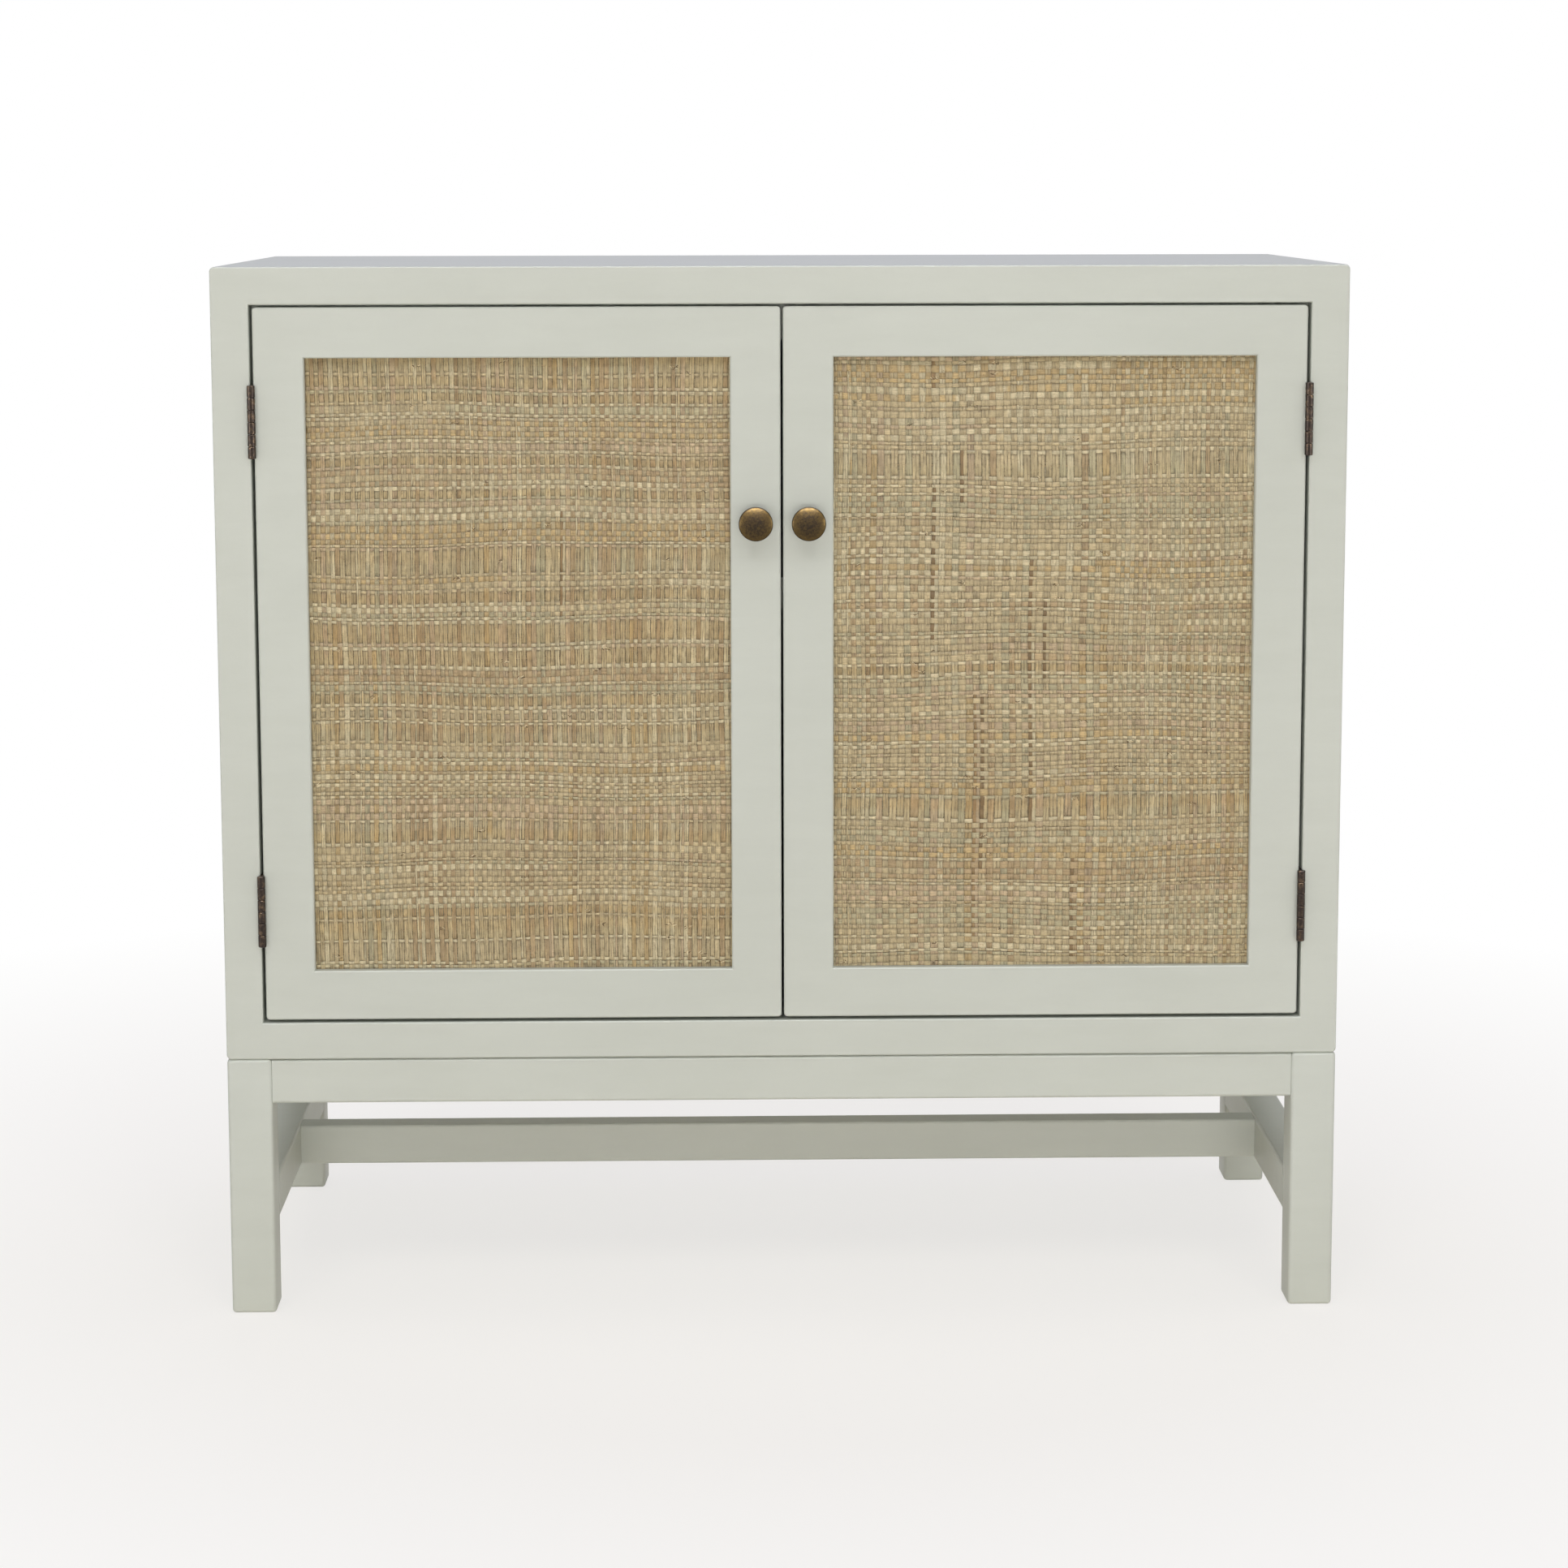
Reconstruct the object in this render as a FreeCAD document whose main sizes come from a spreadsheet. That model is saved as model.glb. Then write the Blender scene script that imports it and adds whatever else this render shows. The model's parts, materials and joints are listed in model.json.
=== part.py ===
import FreeCAD, Part
import math
import os
import types

import Sketcher

# A two-door record cabinet on an open stand, in millimetres. +Z is up, the doors face -Y,
# and the origin is on the floor in the middle of the whole object's box.

SIZES = {
    # The box and the stand under it
    "cabinet_width": 900.0,
    "cabinet_depth": 400.0,
    "cabinet_height": 850.0,
    "stand_height": 212.0,
    "board_thick": 30.0,
    "carcass_corner_radius": 4.0,
    "carcass_edge_radius": 1.5,
    # Legs, aprons and stretchers
    "leg_side": 36.0,
    "leg_edge_radius": 3.0,
    "apron_height": 36.2,
    "apron_thick": 20.0,
    "apron_setback": 2.0,
    "apron_drop": 0.8,
    "side_stretcher_height": 36.0,
    "side_stretcher_thick": 32.0,
    "long_stretcher_height": 34.0,
    "long_stretcher_thick": 24.0,
    "stretcher_level": 71.0,
    "rail_edge_radius": 2.5,
    "tenon_length": 14.0,
    "tenon_thick": 10.0,
    "tenon_shoulder": 6.0,
    "cleat_side": 20.0,
    "cleat_end_gap": 20.0,
    # Back, shelf and stop rail
    "back_thick": 6.0,
    "back_rabbet": 8.0,
    "back_play": 0.5,
    "lower_bay_height": 333.0,
    "shelf_thick": 25.0,
    "shelf_setback": 3.0,
    "dado_depth": 6.0,
    "stop_height": 29.0,
    "stop_thick": 18.0,
    "stop_play": 0.4,
    "catch_offset": 20.0,
    "magnet_width": 30.0,
    "magnet_height": 10.0,
    "magnet_depth": 8.0,
    "strike_width": 34.0,
    "strike_height": 14.0,
    "strike_thick": 1.5,
    # Doors
    "door_setback": 1.0,
    "top_gap": 2.0,
    "bottom_gap": 2.5,
    "centre_gap": 2.0,
    "frame_width": 40.0,
    "frame_thick": 20.0,
    "door_corner_radius": 3.0,
    "door_edge_bevel": 1.0,
    "panel_setback": 8.0,
    "panel_rabbet": 8.0,
    "panel_play": 0.5,
    "weave_thick": 2.0,
    "backing_thick": 4.0,
    # Knobs
    "knob_level": 647.0,
    "knob_length": 23.0,
    "knob_head_radius": 13.6,
    "knob_rim_height": 3.5,
    "knob_bevel": 1.0,
    "knob_neck_radius": 5.0,
    "knob_thread_depth": 9.0,
    "knob_screw_radius": 2.0,
    "knob_screw_head_radius": 4.0,
    "knob_screw_head_height": 2.5,
    "knob_screw_play": 0.2,
    # Butt hinges
    "hinge_length": 58.0,
    "hinge_inset": 90.0,
    "leaf_thick": 1.2,
    "leaf_play": 0.2,
    "leaf_width": 16.0,
    "barrel_radius": 3.2,
    "barrel_clear": 0.3,
    "knuckle_gap": 0.3,
    "pin_radius": 1.6,
    "pin_play": 0.05,
    # Screws
    "screw_radius": 1.5,
    "screw_head_radius": 2.4,
    "screw_length": 14.0,
    "screw_play": 0.1,
    "leaf_screw_spacing": 34.0,
    "leaf_screw_setback": 9.0,
    "back_screw_inset": 4.0,
    "stand_screw_radius": 2.2,
    "stand_screw_head_radius": 4.2,
    "stand_screw_length": 36.0,
}

KNUCKLES = 6
HINGE_FLATS = 12
BACK_SCREWS_ACROSS = 3
BACK_SCREWS_UP = 2
CLEAT_SCREWS = 2
# Knuckles, pins, screws and their holes are drawn with flats, which stand for the round.
SCREW_FLATS = 8
FLAT_SHARE = math.cos(math.pi / SCREW_FLATS)
COUNTERSINK_ANGLE = 45
SIDES = {"left": -1, "right": 1}
TOLERANCE = 1e-4
OVERRUN = 5.0

PLANE_ROLES = {"X": "YZ_Plane", "Y": "XZ_Plane", "Z": "XY_Plane"}
PLANE_NORMALS = {"X": 1, "Y": -1, "Z": 1}


class Size:
    """A length: its number now, and the sheet expression that drives it."""

    def __init__(self, number, text):
        self.number = number
        self.text = text

    @staticmethod
    def of(value):
        if isinstance(value, Size):
            return value
        return Size(value, repr(value))

    def joined(self, other, sign, number):
        return Size(number, f"({self.text} {sign} {other.text})")

    def __add__(self, other):
        other = Size.of(other)
        return self.joined(other, "+", self.number + other.number)

    def __sub__(self, other):
        other = Size.of(other)
        return self.joined(other, "-", self.number - other.number)

    def __mul__(self, other):
        other = Size.of(other)
        return self.joined(other, "*", self.number * other.number)

    def __truediv__(self, other):
        other = Size.of(other)
        return self.joined(other, "/", self.number / other.number)

    def __neg__(self):
        return self * -1

    def __lt__(self, other):
        return self.number < other.number


doc = FreeCAD.newDocument("record_cabinet")
sheet = doc.addObject("Spreadsheet::Sheet", "Sizes")
for row, (alias, value) in enumerate(SIZES.items(), start=1):
    sheet.set(f"A{row}", alias)
    sheet.set(f"B{row}", str(value))
    sheet.setAlias(f"B{row}", alias)
doc.recompute()
dim = types.SimpleNamespace(**{a: Size(v, f"Sizes.{a}") for a, v in SIZES.items()})
sub_parts = []
NONE = Size(0.0, "0")

# Places that several pieces share
half_width = dim.cabinet_width / 2
knob_beyond = dim.knob_length - dim.door_setback
front = (knob_beyond - dim.cabinet_depth) / 2
back = front + dim.cabinet_depth
inner = half_width - dim.board_thick
open_low = dim.stand_height + dim.board_thick
open_high = dim.cabinet_height - dim.board_thick
panel_front = back - dim.back_thick
shelf_low = open_low + dim.lower_bay_height
shelf_high = shelf_low + dim.shelf_thick

side_gap = dim.leaf_thick * 2 + dim.leaf_play
door_front = front + dim.door_setback
door_back = door_front + dim.frame_thick
door_outer = inner - side_gap
door_inner = dim.centre_gap / 2
door_low = open_low + dim.bottom_gap
door_high = open_high - dim.top_gap
seat = door_front + dim.panel_setback
weave_back = seat + dim.weave_thick
backing_back = weave_back + dim.backing_thick
shelf_front = door_back + dim.shelf_setback
stop_front = door_back + dim.stop_play

leg_inner = half_width - dim.leg_side
apron_high = dim.stand_height - dim.apron_drop
apron_low = apron_high - dim.apron_height
stretcher_high = dim.stretcher_level + dim.side_stretcher_height
cleat_low = dim.stand_height - dim.cleat_side

hinge_x = inner - side_gap / 2
hinge_y = front - dim.barrel_radius - dim.barrel_clear
hinge_levels = {"upper": door_high - dim.hinge_inset, "lower": door_low + dim.hinge_inset}
knuckle_pitch = dim.hinge_length / KNUCKLES
leaf_screw_y = door_front + dim.leaf_screw_setback
bore_radius = (dim.pin_radius + dim.pin_play) / FLAT_SHARE
screw_hole = dim.screw_radius + dim.screw_play
screw_sink = (dim.screw_head_radius - dim.screw_radius) * FLAT_SHARE
stand_screw_hole = dim.stand_screw_radius + dim.screw_play
stand_screw_sink = (dim.stand_screw_head_radius - dim.stand_screw_radius) * FLAT_SHARE
knob_x = door_inner + dim.frame_width / 2
knob_screw_seat = door_back - dim.knob_screw_head_height
knob_screw_tip = door_front - dim.knob_thread_depth
catch_x = door_inner + dim.frame_width + dim.catch_offset
catch_z = door_high - (dim.frame_width - dim.panel_rabbet) / 2


def span(one, other):
    """The two lengths, the lesser first."""
    return sorted((one, other))


def box_corners(a_low, a_high, b_low, b_high):
    """The corners of a rectangle in a sketch's own two directions."""
    return [(a_low, b_low), (a_high, b_low), (a_high, b_high), (a_low, b_high)]


def centred(place, width, height):
    """The corners of a rectangle about a place."""
    across = (place[0] - width / 2, place[0] + width / 2)
    return box_corners(*across, place[1] - height / 2, place[1] + height / 2)


def many_sided(place, radius, flats):
    """The corners of an even polygon about a place, a flat square to each direction."""
    turns = [math.tau * (step + 0.5) / flats for step in range(flats)]
    return [(place[0] + radius * math.cos(t), place[1] + radius * math.sin(t)) for t in turns]


def holes_at(places, radius):
    """The outlines of small holes of one radius."""
    return [many_sided(place, radius, SCREW_FLATS) for place in places]


def new_body(label):
    """A body whose label names its node, kept for the hand-in."""
    made = doc.addObject("PartDesign::Body", label)
    made.Label = label
    sub_parts.append(made)
    return made


def sketch_at(body, axis, level, centre=None):
    """A sketch square to an axis of the body, at a level along it."""
    drawn = body.newObject("Sketcher::SketchObject", f"{body.Label}_sketch")
    role = PLANE_ROLES[axis]
    plane = next(f for f in body.Origin.OriginFeatures if f.Role == role)
    drawn.AttachmentSupport = [(plane, "")]
    drawn.MapMode = "FlatFace"
    drawn.setExpression("AttachmentOffset.Base.z", (level * PLANE_NORMALS[axis]).text)
    if centre:
        drawn.setExpression("AttachmentOffset.Base.x", centre[0].text)
        drawn.setExpression("AttachmentOffset.Base.y", centre[1].text)
    return drawn


def plain(point):
    """A sketch point as a vector of numbers."""
    return FreeCAD.Vector(point[0].number, point[1].number, 0)


def draw_outlines(drawn, outlines):
    """Closed outlines whose corners are held by lengths of the sheet from the sketch's origin."""
    lines = []
    joints = []
    corners = [corner for outline in outlines for corner in outline]
    for outline in outlines:
        first = len(lines)
        for here, corner in enumerate(outline):
            after = (here + 1) % len(outline)
            lines.append(Part.LineSegment(plain(corner), plain(outline[after])))
            joints.append(Sketcher.Constraint("Coincident", first + here, 2, first + after, 1))
    holds = []
    lengths = []
    for edge, corner in enumerate(corners):
        for kind, length in zip(("DistanceX", "DistanceY"), corner):
            holds.append(Sketcher.Constraint(kind, -1, 1, edge, 1, length.number))
            lengths.append(length)
    drawn.addGeometry(lines, False)
    drawn.addConstraint(joints + holds)
    for index, length in enumerate(lengths, start=len(joints)):
        drawn.setExpression(f"Constraints[{index}]", length.text)


def add_between(body, axis, low, high, corners):
    """Adds the outline to the body from low to high along the axis."""
    drawn = sketch_at(body, axis, low)
    draw_outlines(drawn, [corners])
    pad = body.newObject("PartDesign::Pad", f"{body.Label}_pad")
    pad.Profile = drawn
    pad.Reversed = PLANE_NORMALS[axis] < 0
    pad.setExpression("Length", (high - low).text)
    doc.recompute([body])
    return pad


def cut_between(body, axis, low, high, outlines):
    """Takes the outlines out of the body from low to high along the axis."""
    before = body.Shape.Volume
    drawn = sketch_at(body, axis, low)
    draw_outlines(drawn, outlines)
    pocket = body.newObject("PartDesign::Pocket", f"{body.Label}_pocket")
    pocket.Profile = drawn
    pocket.Reversed = PLANE_NORMALS[axis] > 0
    pocket.setExpression("Length", (high - low).text)
    doc.recompute([body])
    if body.Shape.Volume > before - TOLERANCE:
        raise ValueError(f"a cut in {body.Label} took nothing away")


def dress(body, kind, size_name, size, chosen):
    """Rounds or bevels the edges of the body that the test picks by their boxes."""
    base = body.Tip
    edges = enumerate(base.Shape.Edges, start=1)
    picked = [f"Edge{number}" for number, edge in edges if chosen(edge.BoundBox)]
    made = body.newObject(f"PartDesign::{kind}", f"{body.Label}_{kind.lower()}")
    made.Base = (base, picked)
    made.setExpression(size_name, size.text)
    doc.recompute([body])


def near(one, other):
    """True where two numbers are one place."""
    return abs(one - other) < TOLERANCE


def lies_at(axis, level):
    """A test for edges that lie in the plane at a level of the axis."""
    number = level.number

    def chosen(box):
        low = getattr(box, f"{axis}Min")
        high = getattr(box, f"{axis}Max")
        return near(low, number) and near(high, number)

    return chosen


def runs_along(axis, places):
    """A test for edges along an axis that pass through places on the other two."""

    def chosen(box):
        if getattr(box, f"{axis}Length") < TOLERANCE:
            return False
        return any(all(lies_at(a, at)(box) for a, at in place.items()) for place in places)

    return chosen


def rims_at(axis, level, places, radius):
    """A test for the rims of small holes: edges in a plane, close about one of the places."""
    in_plane = lies_at(axis, level)
    first, second = [other for other in "XYZ" if other != axis]
    reach = radius.number + TOLERANCE

    def chosen(box):
        if not in_plane(box):
            return False
        for place in places:
            aside = abs(getattr(box.Center, first.lower()) - place[0].number)
            above = abs(getattr(box.Center, second.lower()) - place[1].number)
            if max(aside, above) < reach:
                return True
        return False

    return chosen


def long_edges(axis, least):
    """A test for the straight edges along an axis that are at least so long."""

    def chosen(box):
        return getattr(box, f"{axis}Length") > least.number - TOLERANCE

    return chosen


class MitredRing:
    """Four members that meet in mitres: an outline in X and Z, with a rabbet behind."""

    def __init__(self, x, z, y, width, corner_radius, front_edge, rabbet):
        self.left, self.right = x
        self.low, self.high = z
        self.front, self.back = y
        self.width = width
        self.corner_radius = corner_radius
        self.front_edge = front_edge
        self.rabbet_width, self.rabbet_depth = rabbet

    def member(self, label, place):
        """One member of the ring: left, right, top or bottom."""
        upright = place in ("left", "right")
        far = place in ("right", "top")
        low, high = (self.left, self.right) if upright else (self.low, self.high)
        outer = high if far else low
        towards = -1 if far else 1
        inside = outer + self.width * towards
        ends = (self.low, self.high) if upright else (self.left, self.right)

        def place_of(across, along):
            return (across, along) if upright else (along, across)

        def corners_of(pairs):
            return [place_of(across, along) for across, along in pairs]

        body = new_body(label)
        low_side, high_side = span(outer, inside)
        board = corners_of(box_corners(low_side, high_side, *ends))
        add_between(body, "Y", self.front, self.back, board)
        tips = [dict(zip("XZ", place_of(outer, end))) for end in ends]
        dress(body, "Fillet", "Radius", self.corner_radius, runs_along("Y", tips))
        dress(body, *self.front_edge, lies_at("Y", self.front))

        # Each mitre runs from the outer corner to the inner one, past both by the overrun.
        mitres = []
        for end, inward in zip(ends, (1, -1)):
            over = outer - OVERRUN * towards
            under = inside + OVERRUN * towards
            tip = end - OVERRUN * inward
            root = end + (self.width + OVERRUN) * inward
            mitres.append(corners_of([(over, tip), (under, tip), (under, root)]))
        cut_between(body, "Y", self.front - OVERRUN, self.back + OVERRUN, mitres)

        lip = inside - self.rabbet_width * towards
        strip = span(inside + OVERRUN * towards, lip)
        rabbet = corners_of(box_corners(*strip, *ends))
        cut_between(body, "Y", self.back - self.rabbet_depth, self.back + OVERRUN, [rabbet])
        return body


def screw_template(name, radius, head_radius, length):
    """One countersunk wood screw, head at the origin and point towards +Z."""
    body = doc.addObject("PartDesign::Body", name)
    sink = (head_radius - radius) * FLAT_SHARE
    middle = (NONE, NONE)
    head = add_between(body, "Z", NONE, sink, many_sided(middle, head_radius, SCREW_FLATS))
    head.TaperAngle = -COUNTERSINK_ANGLE
    add_between(body, "Z", sink, length, many_sided(middle, radius, SCREW_FLATS))
    return body


def group_of(label, template, places):
    """Copies of one fastener as a single node: a point and a direction for each."""
    copies = []
    for point, direction in places:
        copy = doc.addObject("App::Link", f"{label}_copy")
        copy.LinkedObject = template
        turn = FreeCAD.Rotation(FreeCAD.Vector(0, 0, 1), FreeCAD.Vector(*direction))
        copy.Placement = FreeCAD.Placement(FreeCAD.Vector(), turn)
        for axis, length in zip("xyz", point):
            copy.setExpression(f"Placement.Base.{axis}", length.text)
        copies.append(copy)
    group = doc.addObject("Part::Compound", label)
    group.Label = label
    group.Links = copies
    sub_parts.append(group)


def group_of_blocks(label, blocks):
    """Plain blocks as a single node: a low corner and a size for each."""
    made = []
    for corner, size in blocks:
        block = doc.addObject("Part::Box", f"{label}_block")
        for name, length in zip(("Length", "Width", "Height"), size):
            block.setExpression(name, length.text)
        for axis, length in zip("xyz", corner):
            block.setExpression(f"Placement.Base.{axis}", length.text)
        made.append(block)
    group = doc.addObject("Part::Compound", label)
    group.Label = label
    group.Links = made
    sub_parts.append(group)


def evenly(low, high, count):
    """Places spread evenly from low to high, both included."""
    return [low + (high - low) * (step / (count - 1)) for step in range(count)]


# Screw places, which the screws, their clearance holes and their pilot holes share
def back_screw_places():
    """Each back screw's place in X and Z, by the board that it bites into."""
    edge_x = inner + dim.back_screw_inset
    edge_low = open_low - dim.back_screw_inset
    edge_high = open_high + dim.back_screw_inset
    across = evenly(-inner + dim.board_thick, inner - dim.board_thick, BACK_SCREWS_ACROSS)
    up = evenly(open_low + dim.board_thick, open_high - dim.board_thick, BACK_SCREWS_UP)
    return {
        "top": [(x, edge_high) for x in across],
        "bottom": [(x, edge_low) for x in across],
        "left": [(-edge_x, z) for z in up],
        "right": [(edge_x, z) for z in up],
    }


def leaf_screw_places():
    """The screw places of one side's leaves, in Y and Z."""
    half = dim.leaf_screw_spacing / 2
    levels = hinge_levels.values()
    return [(leaf_screw_y, level + half * end) for level in levels for end in (-1, 1)]


def cleat_screw_places():
    """The screw places of the front and the rear cleat, in X and Y."""
    reach = leg_inner - dim.cleat_end_gap * 2
    setback = dim.apron_setback + dim.apron_thick + dim.cleat_side / 2
    across = evenly(-reach, reach, CLEAT_SCREWS)
    front_row = [(x, front + setback) for x in across]
    return {"front": front_row, "rear": [(x, back - setback) for x in across]}


def make_carcass():
    """The mitred box, its back panel, shelf and stop rail."""
    ring = MitredRing(
        (-half_width, half_width),
        (dim.stand_height, dim.cabinet_height),
        (front, back),
        dim.board_thick,
        dim.carcass_corner_radius,
        ("Fillet", "Radius", dim.carcass_edge_radius),
        (dim.back_rabbet, dim.back_thick),
    )
    bite = back - dim.screw_length
    names = {
        "top": "top_board",
        "bottom": "bottom_board",
        "left": "left_side_board",
        "right": "right_side_board",
    }
    for place, label in names.items():
        board = ring.member(label, place)
        pilots = holes_at(back_screw_places()[place], screw_hole)
        cut_between(board, "Y", bite, panel_front, pilots)
        if place == "bottom":
            bite_up = cleat_low + dim.stand_screw_length
            places = cleat_screw_places()["front"] + cleat_screw_places()["rear"]
            pilots = holes_at(places, stand_screw_hole)
            cut_between(board, "Z", dim.stand_height, bite_up, pilots)
        if place in SIDES:
            side = SIDES[place]
            dado = span(inner * side, (inner + dim.dado_depth) * side)
            housing = box_corners(shelf_front, panel_front, shelf_low, shelf_high)
            cut_between(board, "X", *dado, [housing])
            bitten = span(inner * side, (inner - dim.leaf_thick + dim.screw_length) * side)
            cut_between(board, "X", *bitten, holes_at(leaf_screw_places(), screw_hole))

    panel = new_body("back_panel")
    margin = dim.back_rabbet - dim.back_play
    outline = box_corners(-inner - margin, inner + margin, open_low - margin, open_high + margin)
    add_between(panel, "Y", panel_front, back, outline)
    places = [place for row in back_screw_places().values() for place in row]
    cut_between(panel, "Y", panel_front, back, holes_at(places, screw_hole))
    dress(panel, "Chamfer", "Size", screw_sink, rims_at("Y", back, places, screw_hole))

    shelf = new_body("shelf")
    shelf_end = inner + dim.dado_depth
    outline = box_corners(-shelf_end, shelf_end, shelf_low, shelf_high)
    add_between(shelf, "Y", shelf_front, panel_front, outline)

    rail = new_body("door_stop_rail")
    outline = box_corners(-inner, inner, open_high - dim.stop_height, open_high)
    add_between(rail, "Y", stop_front, stop_front + dim.stop_thick, outline)
    places = [(catch_x * side, catch_z) for side in SIDES.values()]
    pockets = [centred(place, dim.magnet_width, dim.magnet_height) for place in places]
    cut_between(rail, "Y", stop_front, stop_front + dim.magnet_depth, pockets)

    size = (dim.magnet_width, dim.magnet_depth, dim.magnet_height)
    group_of_blocks("catch_magnets", [((p[0][0], stop_front, p[0][1]), size) for p in pockets])


def add_tenons(body, axis, ends, across, along_z):
    """Tenons past both ends of a rail, centred in its thickness."""
    middle = (across[0] + across[1]) / 2
    thick = (middle - dim.tenon_thick / 2, middle + dim.tenon_thick / 2)
    height = (along_z[0] + dim.tenon_shoulder, along_z[1] - dim.tenon_shoulder)
    outline = box_corners(*thick, *height)
    add_between(body, axis, ends[0] - dim.tenon_length, ends[0], outline)
    add_between(body, axis, ends[1], ends[1] + dim.tenon_length, outline)
    return outline


def make_rail(label, axis, ends, across, along_z):
    """A rail with rounded long edges and a tenon at each end. Returns it and its tenons' outline."""
    body = new_body(label)
    add_between(body, axis, *ends, box_corners(*across, *along_z))
    dress(body, "Fillet", "Radius", dim.rail_edge_radius, long_edges(axis, ends[1] - ends[0]))
    return body, add_tenons(body, axis, ends, across, along_z)


def make_stand():
    """Legs, aprons, stretchers and the cleats that the carcass is screwed through."""
    rail_x = (-leg_inner, leg_inner)
    rail_y = (front + dim.leg_side, back - dim.leg_side)
    apron_z = (apron_low, apron_high)
    stretcher_z = (dim.stretcher_level, stretcher_high)
    set_in = dim.apron_setback + dim.apron_thick
    apron_y = {
        "front": (front + dim.apron_setback, front + set_in),
        "rear": (back - set_in, back - dim.apron_setback),
    }
    mortises = {}
    for end, across in apron_y.items():
        _, mortises[end] = make_rail(f"{end}_apron", "X", rail_x, across, apron_z)
    long_rise = (dim.side_stretcher_height - dim.long_stretcher_height) / 2
    long_z = (dim.stretcher_level + long_rise, stretcher_high - long_rise)
    middle = (front + back) / 2
    half = dim.long_stretcher_thick / 2
    long_y = (middle - half, middle + half)
    _, long_mortise = make_rail("long_stretcher", "X", rail_x, long_y, long_z)

    for side_name, side in SIDES.items():
        outside = half_width - dim.apron_setback
        across = span((outside - dim.apron_thick) * side, outside * side)
        _, apron_mortise = make_rail(f"{side_name}_apron", "Y", rail_y, across, apron_z)
        across = span(leg_inner * side, (leg_inner + dim.side_stretcher_thick) * side)
        stretcher, stretcher_mortise = make_rail(
            f"{side_name}_stretcher", "Y", rail_y, across, stretcher_z
        )
        into = span(leg_inner * side, (leg_inner + dim.tenon_length) * side)
        cut_between(stretcher, "X", *into, [long_mortise])
        for end in ("front", "rear"):
            make_leg(end, side_name, mortises[end], (apron_mortise, stretcher_mortise), into)

    for end, across in apron_y.items():
        cleat = new_body(f"{end}_cleat")
        reach = leg_inner - dim.cleat_end_gap
        starts = across[1] if end == "front" else across[0] - dim.cleat_side
        outline = box_corners(-reach, reach, starts, starts + dim.cleat_side)
        add_between(cleat, "Z", cleat_low, dim.stand_height, outline)
        places = cleat_screw_places()[end]
        cut_between(cleat, "Z", cleat_low, dim.stand_height, holes_at(places, stand_screw_hole))
        rims = rims_at("Z", cleat_low, places, stand_screw_hole)
        dress(cleat, "Chamfer", "Size", stand_screw_sink, rims)


def make_leg(end, side_name, apron_mortise, side_mortises, into):
    """A square leg with rounded arrises and a mortise for each rail that meets it."""
    side = SIDES[side_name]
    leg = new_body(f"leg_{end}_{side_name}")
    across = span(leg_inner * side, half_width * side)
    if end == "front":
        depth = (front, front + dim.leg_side)
        sunk = (depth[1] - dim.tenon_length, depth[1])
    else:
        depth = (back - dim.leg_side, back)
        sunk = (depth[0], depth[0] + dim.tenon_length)
    add_between(leg, "Z", NONE, dim.stand_height, box_corners(*across, *depth))
    dress(leg, "Fillet", "Radius", dim.leg_edge_radius, long_edges("Z", dim.stand_height))
    cut_between(leg, "X", *into, [apron_mortise])
    for outline in side_mortises:
        cut_between(leg, "Y", *sunk, [outline])


def make_leaf(label, side, level, on_door):
    """One leaf of a butt hinge: a plate in the side gap and its turned knuckles."""
    body = new_body(label)
    low = level - dim.hinge_length / 2
    towards = -side if on_door else side
    axis_x = hinge_x * side
    near_face = axis_x + dim.leaf_play / 2 * towards
    thick = span(near_face, near_face + dim.leaf_thick * towards)
    plate_front = hinge_y + dim.barrel_radius + dim.barrel_clear
    plate_back = door_front + dim.leaf_width
    outline = box_corners(*thick, plate_front, plate_back)
    add_between(body, "Z", low, low + dim.hinge_length, outline)

    lowest = low + knuckle_pitch * (1 if on_door else 0)
    reach = (lowest + dim.knuckle_gap / 2, lowest + knuckle_pitch - dim.knuckle_gap / 2)
    neck = add_between(body, "Z", *reach, box_corners(*thick, hinge_y, plate_front))
    axis_place = (axis_x, hinge_y)
    round_wall = many_sided(axis_place, dim.barrel_radius, HINGE_FLATS)
    barrel = add_between(body, "Z", *reach, round_wall)
    pattern = body.newObject("PartDesign::LinearPattern", f"{label}_knuckles")
    pattern.Originals = [neck, barrel]
    z_axis = next(f for f in body.Origin.OriginFeatures if f.Role == "Z_Axis")
    pattern.Direction = (z_axis, [""])
    pattern.Occurrences = KNUCKLES // 2
    pattern.setExpression("Length", (knuckle_pitch * (KNUCKLES - 2)).text)
    body.Tip = pattern
    doc.recompute([body])
    cut_between(body, "Z", low, low + dim.hinge_length, holes_at([axis_place], bore_radius))

    half = dim.leaf_screw_spacing / 2
    places = [(leaf_screw_y, level + half * end) for end in (-1, 1)]
    cut_between(body, "X", *thick, holes_at(places, screw_hole))
    dress(body, "Chamfer", "Size", screw_sink, rims_at("X", near_face, places, screw_hole))


def make_pin(label, side, level):
    """A hinge pin, as long as the barrel."""
    body = new_body(label)
    low = level - dim.hinge_length / 2
    wall = many_sided((hinge_x * side, hinge_y), dim.pin_radius, HINGE_FLATS)
    add_between(body, "Z", low, low + dim.hinge_length, wall)


def make_hinges(leaf_screw):
    """Four butt hinges: leaves, pins and the screws into the side boards."""
    places = []
    for side_name, side in SIDES.items():
        for level_name, level in hinge_levels.items():
            make_leaf(f"{side_name}_{level_name}_frame_leaf", side, level, False)
            make_pin(f"{side_name}_{level_name}_hinge_pin", side, level)
        head = (inner - dim.leaf_thick) * side
        places += [((head, y, z), (side, 0, 0)) for y, z in leaf_screw_places()]
    group_of("frame_leaf_screws", leaf_screw, places)


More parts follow.
